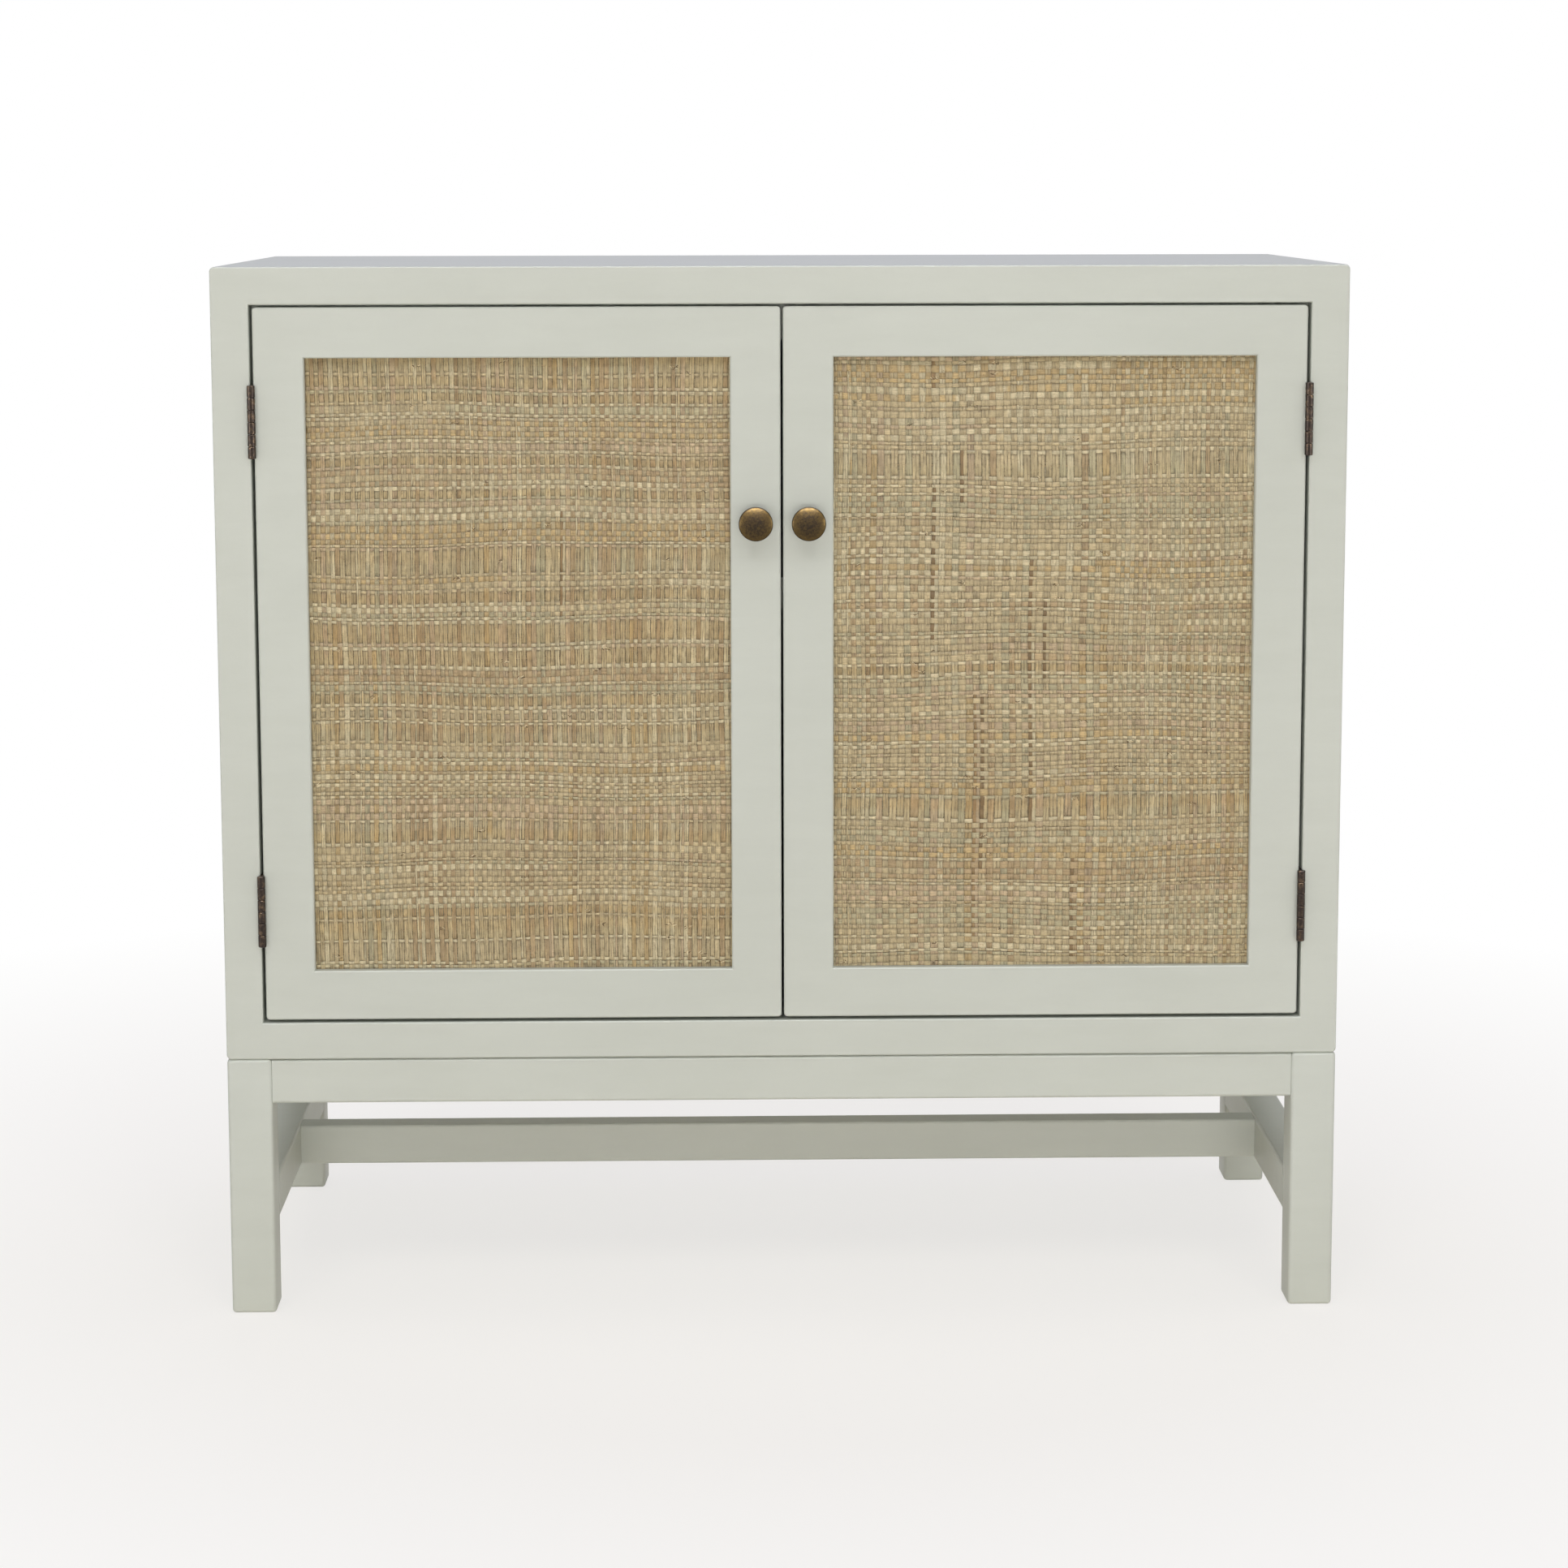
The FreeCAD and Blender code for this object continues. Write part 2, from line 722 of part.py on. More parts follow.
def make_knob(label, side):
    """A turned knob: neck, rim, bevel and a flat face, tapped from behind."""
    body = new_body(label)
    drawn = sketch_at(body, "Z", dim.knob_level, (knob_x * side, door_front))
    rim_front = dim.knob_length - dim.knob_bevel
    rim_back = rim_front - dim.knob_rim_height
    outline = [
        (NONE, NONE),
        (NONE, -dim.knob_length),
        (dim.knob_head_radius - dim.knob_bevel, -dim.knob_length),
        (dim.knob_head_radius, -rim_front),
        (dim.knob_head_radius, -rim_back),
        (dim.knob_neck_radius, -rim_back),
        (dim.knob_neck_radius, NONE),
    ]
    draw_outlines(drawn, [outline])
    turned = body.newObject("PartDesign::Revolution", f"{label}_turned")
    turned.Profile = drawn
    turned.ReferenceAxis = (drawn, ["V_Axis"])
    turned.Angle = 360
    doc.recompute([body])
    tapped = holes_at([(knob_x * side, dim.knob_level)], dim.knob_screw_radius)
    cut_between(body, "Y", knob_screw_tip, door_front, tapped)


def make_knob_screw(label, side):
    """The machine screw from behind the stile: a sunk pan head and a shank into the knob."""
    body = new_body(label)
    centre = (knob_x * side, dim.knob_level)
    shank = many_sided(centre, dim.knob_screw_radius, SCREW_FLATS)
    add_between(body, "Y", knob_screw_tip, knob_screw_seat, shank)
    head = many_sided(centre, dim.knob_screw_head_radius, SCREW_FLATS)
    add_between(body, "Y", knob_screw_seat, door_back, head)


def make_beads(label, window_x, window_z):
    """Four strips in the rabbet behind the panel, flush with the back of the frame."""
    left, right = window_x
    low, high = window_z
    deep = dim.panel_rabbet
    strips = [
        ((left - deep, low - deep), (right + deep, low)),
        ((left - deep, high), (right + deep, high + deep)),
        ((left - deep, low), (left, high)),
        ((right, low), (right + deep, high)),
    ]
    blocks = []
    for (x_low, z_low), (x_high, z_high) in strips:
        size = (x_high - x_low, door_back - backing_back, z_high - z_low)
        blocks.append(((x_low, backing_back, z_low), size))
    group_of_blocks(label, blocks)


def make_door(side_name, leaf_screw):
    """A framed door: mitred frame, woven panel on its backing, knob, strike and hinge leaves."""
    side = SIDES[side_name]
    x = span(door_outer * side, door_inner * side)
    ring = MitredRing(
        x,
        (door_low, door_high),
        (door_front, door_back),
        dim.frame_width,
        dim.door_corner_radius,
        ("Chamfer", "Size", dim.door_edge_bevel),
        (dim.panel_rabbet, dim.frame_thick - dim.panel_setback),
    )
    meeting_place = "right" if side_name == "left" else "left"
    hinge_stile = ring.member(f"{side_name}_hinge_stile", side_name)
    bite = span(door_outer * side, (door_outer + dim.leaf_thick - dim.screw_length) * side)
    cut_between(hinge_stile, "X", *bite, holes_at(leaf_screw_places(), screw_hole))

    meeting_stile = ring.member(f"{side_name}_meeting_stile", meeting_place)
    knob_place = [(knob_x * side, dim.knob_level)]
    bore = holes_at(knob_place, dim.knob_screw_radius + dim.knob_screw_play)
    cut_between(meeting_stile, "Y", door_front, door_back, bore)
    sunk = holes_at(knob_place, dim.knob_screw_head_radius + dim.knob_screw_play)
    cut_between(meeting_stile, "Y", knob_screw_seat, door_back, sunk)

    top_rail = ring.member(f"{side_name}_door_top_rail", "top")
    strike_outline = centred((catch_x * side, catch_z), dim.strike_width, dim.strike_height)
    strike_front = door_back - dim.strike_thick
    cut_between(top_rail, "Y", strike_front, door_back, [strike_outline])
    ring.member(f"{side_name}_door_bottom_rail", "bottom")

    strike = new_body(f"{side_name}_strike_plate")
    add_between(strike, "Y", strike_front, door_back, strike_outline)

    window_x = (x[0] + dim.frame_width, x[1] - dim.frame_width)
    window_z = (door_low + dim.frame_width, door_high - dim.frame_width)
    margin = dim.panel_rabbet - dim.panel_play
    sheet_outline = box_corners(
        window_x[0] - margin, window_x[1] + margin, window_z[0] - margin, window_z[1] + margin
    )
    weave = new_body(f"{side_name}_weave_panel")
    add_between(weave, "Y", seat, weave_back, sheet_outline)
    backing = new_body(f"{side_name}_backing_board")
    add_between(backing, "Y", weave_back, backing_back, sheet_outline)
    make_beads(f"{side_name}_panel_beads", window_x, window_z)

    make_knob(f"{side_name}_knob", side)
    make_knob_screw(f"{side_name}_knob_screw", side)
    for level_name, level in hinge_levels.items():
        make_leaf(f"{side_name}_{level_name}_door_leaf", side, level, True)
    head = (door_outer + dim.leaf_thick) * side
    places = [((head, y, z), (-side, 0, 0)) for y, z in leaf_screw_places()]
    group_of(f"{side_name}_door_leaf_screws", leaf_screw, places)


def make_screws(wood_screw, stand_screw):
    """The screws of the back panel and of the stand."""
    places = [place for row in back_screw_places().values() for place in row]
    group_of("back_panel_screws", wood_screw, [((x, back, z), (0, -1, 0)) for x, z in places])
    places = [place for row in cleat_screw_places().values() for place in row]
    group_of("stand_screws", stand_screw, [((x, y, cleat_low), (0, 0, 1)) for x, y in places])


def check_all():
    """Stops if any object failed, or if a sub-part has no valid solid."""
    for thing in doc.Objects:
        if "Invalid" in thing.State or "Error" in thing.State:
            raise ValueError(f"{thing.Label} failed to compute")
    for part in sub_parts:
        if part.Shape.isNull() or not part.Shape.isValid() or not part.Shape.Solids:
            raise ValueError(f"{part.Label} has no valid solid")


wood_screw = screw_template(
    "wood_screw", dim.screw_radius, dim.screw_head_radius, dim.screw_length
)
stand_screw = screw_template(
    "stand_screw", dim.stand_screw_radius, dim.stand_screw_head_radius, dim.stand_screw_length
)
make_carcass()
make_stand()
make_hinges(wood_screw)
for door_side in SIDES:
    make_door(door_side, wood_screw)
make_screws(wood_screw, stand_screw)
doc.recompute()
check_all()
os.makedirs("parts", exist_ok=True)
for part in sub_parts:
    part.Shape.exportStep(f"parts/{part.Label}.step")
print(len(sub_parts), "nodes written")
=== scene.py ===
"""A painted record cabinet on an open stand, with doors of woven raffia: its looks and its light."""

import json
import logging
import math
import random
from dataclasses import dataclass, replace
from enum import Enum
from itertools import groupby
from operator import attrgetter
from typing import Any, Iterable, Sequence

import bmesh
import bpy
from mathutils import Matrix, Vector


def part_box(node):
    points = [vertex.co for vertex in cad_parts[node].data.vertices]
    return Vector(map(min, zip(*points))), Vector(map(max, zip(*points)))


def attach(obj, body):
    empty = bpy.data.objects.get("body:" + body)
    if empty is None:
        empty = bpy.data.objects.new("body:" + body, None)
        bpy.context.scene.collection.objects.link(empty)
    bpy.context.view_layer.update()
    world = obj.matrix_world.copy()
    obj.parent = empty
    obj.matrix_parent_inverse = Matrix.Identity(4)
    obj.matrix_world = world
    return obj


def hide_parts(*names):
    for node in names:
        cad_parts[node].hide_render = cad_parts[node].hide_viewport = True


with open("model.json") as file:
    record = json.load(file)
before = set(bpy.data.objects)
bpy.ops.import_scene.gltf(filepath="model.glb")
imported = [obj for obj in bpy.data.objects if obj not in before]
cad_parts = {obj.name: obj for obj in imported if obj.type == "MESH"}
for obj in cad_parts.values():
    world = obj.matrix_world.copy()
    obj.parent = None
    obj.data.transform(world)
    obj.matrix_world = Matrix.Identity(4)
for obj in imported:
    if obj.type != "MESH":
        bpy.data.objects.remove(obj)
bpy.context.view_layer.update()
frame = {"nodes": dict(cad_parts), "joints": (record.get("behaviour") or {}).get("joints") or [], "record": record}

Span = tuple[float, float]
Triple = tuple[float, float, float]
Lengths = tuple[tuple[float, Vector], ...]

MM = 0.001
FULL: Span = (0.0, 1.0)
UP = Vector((0, 0, 1))
FORWARD = Vector((0, -1, 0))
SMOOTH_ANGLE = math.radians(35)
MERGE_REACH = 0.001 * MM
log = logging.getLogger("record_cabinet")


class Side(Enum):
    """The two halves of the cabinet, by their direction along X."""

    LEFT = -1
    RIGHT = 1

    @property
    def word(self) -> str:
        """The side's name in the names of nodes and bodies."""
        return self.name.lower()

    @property
    def door(self) -> str:
        """The body of this side's door."""
        return f"{self.word}_door"


class Slot(Enum):
    """The finishes that the record names."""

    PAINT = "painted_wood"
    RAFFIA = "woven_raffia"
    PLYWOOD = "backing_plywood"
    BARE = "bare_wood"
    BRASS = "antique_brass"
    BRONZE = "bronzed_steel"
    ZINC = "zinc_steel"


def tint(code: str) -> Vector:
    """A screen colour as scene-linear light.

    Args:
        code: The colour as six hexadecimal digits.

    Returns:
        Red, green, blue and a full alpha.
    """
    shares = [int(code[at : at + 2], 16) / 255 for at in (0, 2, 4)]
    linear = [s / 12.92 if s <= 0.04045 else ((s + 0.055) / 1.055) ** 2.4 for s in shares]
    return Vector((*linear, 1.0))


def shaded(colour: Vector, share: float) -> Vector:
    """A colour made lighter or darker, with a full alpha."""
    return Vector((*(colour * share)[:3], 1.0))


class Wire:
    """An output of a shader node, with arithmetic that adds Math nodes."""

    def __init__(self, shader: "Shader", socket: bpy.types.NodeSocket | None) -> None:
        """Keeps the socket and the shader that new nodes go to."""
        self.shader = shader
        self.socket = socket

    def _math(self, operation: str, first: Any, second: Any) -> "Wire":
        """A Math node on two values."""
        settings = {"operation": operation}
        return self.shader.node("ShaderNodeMath", settings, {0: first, 1: second})

    def __add__(self, other: Any) -> "Wire":
        """The sum."""
        return self._math("ADD", self, other)

    def __radd__(self, other: Any) -> "Wire":
        """The sum, with the number first."""
        return self._math("ADD", other, self)

    def __sub__(self, other: Any) -> "Wire":
        """The difference."""
        return self._math("SUBTRACT", self, other)

    def __rsub__(self, other: Any) -> "Wire":
        """The difference, with the number first."""
        return self._math("SUBTRACT", other, self)

    def __mul__(self, other: Any) -> "Wire":
        """The product."""
        return self._math("MULTIPLY", self, other)

    def __rmul__(self, other: Any) -> "Wire":
        """The product, with the number first."""
        return self._math("MULTIPLY", other, self)


@dataclass(frozen=True)
class Mottle:
    """A noise: how fine it is, its detail, and how close it lies along each axis."""

    scale: float
    detail: float = 3.0
    rough: float = 0.55
    stretch: Triple = (1.0, 1.0, 1.0)


class Shader:
    """The node tree of one material or of the world."""

    def __init__(self, tree: bpy.types.NodeTree) -> None:
        """Starts from an empty tree."""
        self.tree = tree
        tree.nodes.clear()

    def node(
        self,
        kind: str,
        settings: dict[str, Any] | None = None,
        sockets: dict[Any, Any] | None = None,
        out: Any = 0,
    ) -> Wire:
        """Adds a node.

        Args:
            kind: The node's type.
            settings: Its properties.
            sockets: Values or wires for its inputs, by name or index.
            out: The output to return.

        Returns:
            The output as a wire.
        """
        made = self.tree.nodes.new(kind)
        for name, value in (settings or {}).items():
            setattr(made, name, value)
        for key, value in (sockets or {}).items():
            if isinstance(value, Wire):
                self.tree.links.new(value.socket, made.inputs[key])
            else:
                made.inputs[key].default_value = value
        return Wire(self, made.outputs[out] if made.outputs else None)

    def attribute(self, name: str, out: str) -> Wire:
        """One of the mesh's own attributes."""
        return self.node("ShaderNodeAttribute", {"attribute_name": name}, out=out)

    def noise(self, mottle: Mottle) -> Wire:
        """Noise about one half, on Object coordinates.

        Args:
            mottle: The noise to make.

        Returns:
            The noise.
        """
        place = self.node("ShaderNodeTexCoord", out="Object")
        place = self.node("ShaderNodeMapping", sockets={"Vector": place, "Scale": mottle.stretch})
        sockets = {
            "Vector": place,
            "Scale": mottle.scale,
            "Detail": mottle.detail,
            "Roughness": mottle.rough,
        }
        return self.node("ShaderNodeTexNoise", sockets=sockets)

    def level(self, value: Wire, source: Span, to: Span = FULL) -> Wire:
        """Spreads a value from one range to another, held to its ends."""
        sockets = {0: value, 1: source[0], 2: source[1], 3: to[0], 4: to[1]}
        return self.node("ShaderNodeMapRange", sockets=sockets)

    def mix(self, factor: Any, first: Any, second: Any, blend: str = "MIX") -> Wire:
        """A colour between two, or one colour laid on another."""
        settings = {"data_type": "RGBA", "blend_type": blend}
        return self.node("ShaderNodeMix", settings, {0: factor, 6: first, 7: second}, out=2)

    def bump(self, height: Wire, strength: float, distance: float) -> Wire:
        """A normal that follows a height."""
        sockets = {"Height": height, "Strength": strength, "Distance": distance}
        return self.node("ShaderNodeBump", sockets=sockets)

    def surface(self, **sockets: Any) -> None:
        """Ends the tree in one surface shader.

        Args:
            sockets: Values or wires for its inputs, named with underscores.
        """
        named = {key.replace("_", " "): value for key, value in sockets.items()}
        shader = self.node("ShaderNodeBsdfPrincipled", sockets=named)
        self.node("ShaderNodeOutputMaterial", sockets={"Surface": shader})


class Finish:
    """A finish that makes its material once."""

    made: dict["Finish", bpy.types.Material] = {}

    def material(self) -> bpy.types.Material:
        """The finish's material, made at the first call.

        Returns:
            The material.
        """
        if self not in Finish.made:
            material = bpy.data.materials.new(type(self).__name__)
            material.use_nodes = True
            self.draw(Shader(material.node_tree))
            Finish.made[self] = material
        return Finish.made[self]

    def draw(self, shader: Shader) -> None:
        """Draws the node tree."""
        raise NotImplementedError


@dataclass(frozen=True)
class Paint(Finish):
    """Satin paint, sprayed over closed-grain wood."""

    colour: str = "cdd1c9"
    shade: str = "c1c5bc"
    cloud: Mottle = Mottle(4.0, 2.0)
    grain: Mottle = Mottle(6.0, 5.0, 0.65, (2.0, 9.0, 9.0))
    peel: Mottle = Mottle(1 / (2.5 * MM), 2.0)
    cloud_share: float = 0.6
    tones: Span = (0.2, 0.8)
    cloud_range: Span = (0.1, 0.9)
    roughness: Span = (0.46, 0.56)
    gloss: float = 0.35
    grain_relief: float = 0.5
    relief: Span = (0.06, 0.25 * MM)

    def draw(self, shader: Shader) -> None:
        """Draws the node tree.

        Args:
            shader: The tree to draw in.
        """
        cloud = shader.noise(self.cloud)
        grain = shader.noise(self.grain)
        peel = shader.noise(self.peel)
        tone = cloud * self.cloud_share + grain * (1 - self.cloud_share)
        lightness = shader.level(tone, self.tones)
        shader.surface(
            Base_Color=shader.mix(lightness, tint(self.shade), tint(self.colour)),
            Roughness=shader.level(cloud, self.cloud_range, self.roughness),
            Specular_IOR_Level=self.gloss,
            Normal=shader.bump(peel + grain * self.grain_relief, *self.relief),
        )


@dataclass(frozen=True)
class Raffia(Finish):
    """Dry raffia strips: each strip's own colour, with fibres along it and creases across, and painted shade in
    the creases and along each strip's edges.
    """

    fibres: Mottle
    creases: Mottle
    crease_shade: float
    rim_start: float
    edge_shade: float
    spots: Mottle = Mottle(700.0, 3.0, 0.7)
    stain: str = "7d6240"
    stain_share: Span = (0.0, 0.6)
    spot_range: Span = (0.58, 0.72)
    fibre_range: Span = (0.3, 0.7)
    fibre_tones: Span = (0.72, 1.24)
    crease_range: Span = (0.3, 0.48)
    patch_range: Span = (0.38, 0.6)
    patch_share: Span = (1.0, 0.35)
    roughness: Span = (0.62, 0.8)
    gloss: float = 0.3
    relief: Span = (0.5, 0.25 * MM)

    def draw(self, shader: Shader) -> None:
        """Draws the node tree.

        Args:
            shader: The tree to draw in.
        """
        strip = shader.attribute("strand", "Color")
        across = shader.attribute("across", "Fac")
        edge = shader.node("ShaderNodeMath", {"operation": "ABSOLUTE"}, {0: across})
        fibres = shader.noise(self.fibres)
        creases = shader.noise(self.creases)
        light = shader.level(fibres, self.fibre_range, self.fibre_tones)
        # Painted shade: the creases darken the strip's colour, as shade falling in them.
        dark = shader.level(creases, self.crease_range, (1.0 - self.crease_shade, 1.0))
        patchy = shader.level(creases, self.patch_range, self.patch_share)
        # Painted shade: each strip is darkened towards its edges, in patches, as shade beside the next strip.
        painted_edge_shade = shader.level(edge, (self.rim_start, 1.0), (0.0, 1.0 - self.edge_shade)) * patchy
        shade = light * dark * (1.0 - painted_edge_shade)
        grey = shader.node("ShaderNodeCombineColor", sockets={0: shade, 1: shade, 2: shade})
        coloured = shader.mix(1.0, strip, grey, "MULTIPLY")
        stained = shader.level(shader.noise(self.spots), self.spot_range, self.stain_share)
        shader.surface(
            Base_Color=shader.mix(stained, coloured, tint(self.stain)),
            Roughness=shader.level(fibres, self.fibre_range, self.roughness),
            Specular_IOR_Level=self.gloss,
            Normal=shader.bump(fibres + creases - edge * edge, *self.relief),
        )


@dataclass(frozen=True)
class Timber(Finish):
    """Planed wood with grain along X."""

    light: str
    dark: str
    grain: Mottle = Mottle(4.0, 6.0, 0.6, (3.0, 40.0, 40.0))
    tones: Span = (0.32, 0.68)
    grain_range: Span = (0.3, 0.7)
    roughness: Span = (0.55, 0.7)
    relief: Span = (0.15, 0.3 * MM)

    def draw(self, shader: Shader) -> None:
        """Draws the node tree.

        Args:
            shader: The tree to draw in.
        """
        grain = shader.noise(self.grain)
        tone = shader.level(grain, self.tones)
        shader.surface(
            Base_Color=shader.mix(tone, tint(self.dark), tint(self.light)),
            Roughness=shader.level(grain, self.grain_range, self.roughness),
            Normal=shader.bump(grain, *self.relief),
        )


@dataclass(frozen=True)
class AgedMetal(Finish):
    """Plated metal whose dark patina is worn through in patches, under some lacquer, with the mesh's painted
    reflection added to the wear.

    The roughness and the metal are given for the patina first and then for the worn places.
    """

    bright: str
    dark: str
    patch_size: float
    worn: Span
    roughness: Span
    lacquer: float = 0.0
    lacquer_roughness: float = 0.25
    metal: Span = (0.75, 1.0)
    patch_detail: Span = (5.0, 0.7)
    speck_detail: Span = (3.0, 0.7)
    specks_across: float = 6.0
    patch_share: float = 0.7
    rubbed_share: float = 0.3
    relief: Span = (0.12, 0.1 * MM)

    def draw(self, shader: Shader) -> None:
        """Draws the node tree.

        Args:
            shader: The tree to draw in.
        """
        patches = shader.noise(Mottle(1 / self.patch_size, *self.patch_detail))
        specks = shader.noise(Mottle(self.specks_across / self.patch_size, *self.speck_detail))
        spotted = patches * self.patch_share + specks * (1 - self.patch_share)
        # Painted reflection: the mesh attribute shifts the wear mask darker or lighter, as the knob's profile
        # gives it.
        rubbed = shader.attribute("rubbed", "Fac") * self.rubbed_share
        wear_and_painted_reflection = shader.level(spotted + rubbed, self.worn)
        shader.surface(
            Base_Color=shader.mix(wear_and_painted_reflection, tint(self.dark), tint(self.bright)),
            Metallic=shader.level(wear_and_painted_reflection, FULL, self.metal),
            Roughness=shader.level(wear_and_painted_reflection, FULL, self.roughness),
            Coat_Weight=self.lacquer,
            Coat_Roughness=self.lacquer_roughness,
            Normal=shader.bump(specks, *self.relief),
        )


PAINT = Paint()
PLYWOOD = Timber("b59b74", "987d57")
BARE = Timber("c7a273", "a9845a")
BRASS = AgedMetal("614e2b", "281d10", 2 * MM, worn=(0.4, 0.72), roughness=(0.46, 0.3), lacquer=0.12)
BRONZE = AgedMetal("8c745a", "332a25", 5 * MM, worn=(0.5, 0.74), roughness=(0.32, 0.2))
ZINC = AgedMetal("c4c6c8", "9a9c9f", 3 * MM, worn=(0.3, 0.6), roughness=(0.42, 0.28))
RAFFIA_UPRIGHT = Raffia(
    fibres=Mottle(1.0, 4.0, 0.6, (1500.0, 200.0, 90.0)),
    creases=Mottle(1.0, 3.0, 0.6, (160.0, 120.0, 220.0)),
    crease_shade=0.16,
    rim_start=0.6,
    edge_shade=0.26,
)
RAFFIA_ACROSS = Raffia(
    fibres=Mottle(1.0, 4.0, 0.6, (90.0, 200.0, 1500.0)),
    creases=Mottle(1.0, 3.0, 0.6, (420.0, 120.0, 110.0)),
    crease_shade=0.28,
    rim_start=0.6,
    edge_shade=0.64,
)

CAD_FINISHES: dict[Slot, Finish] = {
    Slot.PAINT: PAINT,
    Slot.PLYWOOD: PLYWOOD,
    Slot.BARE: BARE,
    Slot.BRASS: BRASS,
    Slot.BRONZE: BRONZE,
    Slot.ZINC: ZINC,
}


def distinct(parts: Iterable[Any]) -> list[Any]:
    """Parts of a mesh without repeats, in the order in which they come."""
    return list(dict.fromkeys(parts))


class Piece:
    """A mesh under way, which becomes one object that sits at the origin."""

    def __init__(self, name: str) -> None:
        """Starts an empty mesh.

        Args:
            name: The object's name.
        """
        self.name = name
        self.bm = bmesh.new()
        # Painted reflection for each point, which only the knob's profile fills in.
        self.rubbed = self.bm.verts.layers.float.new("rubbed")

    def block(self, low: Vector, high: Vector, radius: float, steps: int) -> None:
        """Adds a block with rounded edges.

        Args:
            low: Its lowest corner.
            high: Its highest corner.
            radius: The radius of its edges.
            steps: The steps of each round.
        """
        verts = bmesh.ops.create_cube(self.bm, size=1.0)["verts"]
        bmesh.ops.scale(self.bm, vec=high - low, verts=verts)
        bmesh.ops.translate(self.bm, vec=(low + high) / 2, verts=verts)
        edges = distinct(edge for vert in verts for edge in vert.link_edges)
        bmesh.ops.bevel(
            self.bm,
            geom=edges,
            offset=radius,
            affect="EDGES",
            segments=steps,
            profile=0.5,
            material=-1,
        )

    def turning(
        self, profile: Sequence[tuple[float, ...]], place: Vector, axis: Vector, steps: int
    ) -> None:
        """Adds a turned shape.

        Args:
            profile: Radius, height and any painted reflection of each point, from one pole to the other.
            place: Where height zero lies.
            axis: The direction of rising height.
            steps: The steps of the round.
        """
        verts = [self.bm.verts.new((point[0], 0.0, point[1])) for point in profile]
        for vert, point in zip(verts, profile):
            vert[self.rubbed] = sum(point[2:])
        edges = [self.bm.edges.new(pair) for pair in zip(verts, verts[1:])]
        spun = bmesh.ops.spin(
            self.bm,
            geom=[*verts, *edges],
            cent=(0, 0, 0),
            axis=UP,
            angle=math.tau,
            steps=steps,
            use_merge=True,
        )
        last = [part for part in spun["geom_last"] if isinstance(part, bmesh.types.BMVert)]
        faces = self._connected(verts + last)
        around = distinct(vert for face in faces for vert in face.verts)
        bmesh.ops.remove_doubles(self.bm, verts=around, dist=MERGE_REACH)
        faces = [face for face in faces if face.is_valid]
        bmesh.ops.recalc_face_normals(self.bm, faces=faces)
        around = distinct(vert for face in faces for vert in face.verts)
        turn = UP.rotation_difference(axis).to_matrix()
        bmesh.ops.rotate(self.bm, cent=(0, 0, 0), matrix=turn, verts=around)
        bmesh.ops.translate(self.bm, vec=place, verts=around)

    def _connected(self, starts: Sequence[bmesh.types.BMVert]) -> list[bmesh.types.BMFace]:
        """The faces that hang together with some vertices.

        Args:
            starts: The vertices, some of which may be gone.

        Returns:
            The faces.
        """
        found: dict[bmesh.types.BMFace, None] = {}
        waiting = [face for vert in starts if vert.is_valid for face in vert.link_faces]
        while waiting:
            face = waiting.pop()
            if face in found:
                continue
            found[face] = None
            waiting += [other for vert in face.verts for other in vert.link_faces]
        return list(found)

    def finish(
        self, body: str, slot: Slot, finishes: Sequence[Finish], nodes: Sequence[str]
    ) -> bpy.types.Object:
        """Closes the mesh into an object on a body.

        Args:
            body: The body that the piece rides on.
            slot: The record's finish; not used.
            finishes: The finishes, in the order of the faces' indices.
            nodes: The solids that the piece stands for.

        Returns:
            The finished object.
        """
        mesh = bpy.data.meshes.new(self.name)
        self.bm.to_mesh(mesh)
        self.bm.free()
        for finish in finishes:
            mesh.materials.append(finish.material())
        mesh.shade_smooth()
        mesh.set_sharp_from_angle(angle=SMOOTH_ANGLE)
        made = bpy.data.objects.new(self.name, mesh)
        bpy.context.collection.objects.link(made)
        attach(made, body)
        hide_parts(*nodes)
        log.info("%s: %d faces on %s", self.name, len(mesh.polygons), body)
        return made


@dataclass
class Stand:
    """The stand's legs, rounded on every edge."""

    edge_radius: float = 3 * MM
    edge_steps: int = 3

    def build(self) -> None:
        """Builds the four legs."""
        for end in ("front", "rear"):
            for side in Side:
                node = f"leg_{end}_{side.word}"
                piece = Piece(f"rounded_{node}")
                piece.block(*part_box(node), self.edge_radius, self.edge_steps)
                piece.finish("cabinet", Slot.PAINT, [PAINT], [node])


class Weft(Enum):
    """How a row of the weave lies."""

    CORD = "narrow, twisted and proud"
    FLAT = "broad and flat"
    SUNK = "behind the upright strips"


class Straw(Enum):
    """The colours of dry raffia."""

    PALE = "d6c8a3"
    WHEAT = "c9b78f"
    GOLD = "c6ad7d"
    TAN = "bea67e"
    BLUSH = "c8b28f"
    GREY = "c0b591"
    BROWN = "87704f"


UPRIGHT_STRAWS: dict[Straw, float] = {
    Straw.WHEAT: 6.0,
    Straw.PALE: 1.5,
    Straw.GOLD: 0.6,
    Straw.TAN: 1.5,
    Straw.BLUSH: 0.7,
    Straw.GREY: 1.0,
}
FLOAT_STRAWS: dict[Straw, float] = {Straw.PALE: 2.0, Straw.WHEAT: 1.0}
CORD_STRAWS: dict[Straw, float] = {
    Straw.PALE: 3.0,
    Straw.WHEAT: 3.0,
    Straw.BLUSH: 1.0,
    Straw.GREY: 1.0,
}
ROW_STRAWS: dict[Straw, float] = {Straw.WHEAT: 2.0, Straw.PALE: 1.0}
ROW_LEADS = tuple(UPRIGHT_STRAWS)
ROW_LEAD_WEIGHT = 5.0
CLEAR: Triple = (1.0, 1.0, 1.0)
SUNK_STAINS: tuple[Triple, ...] = (CLEAR, (1.0, 0.96, 0.88), (0.96, 0.9, 0.8), (0.98, 0.98, 0.95))


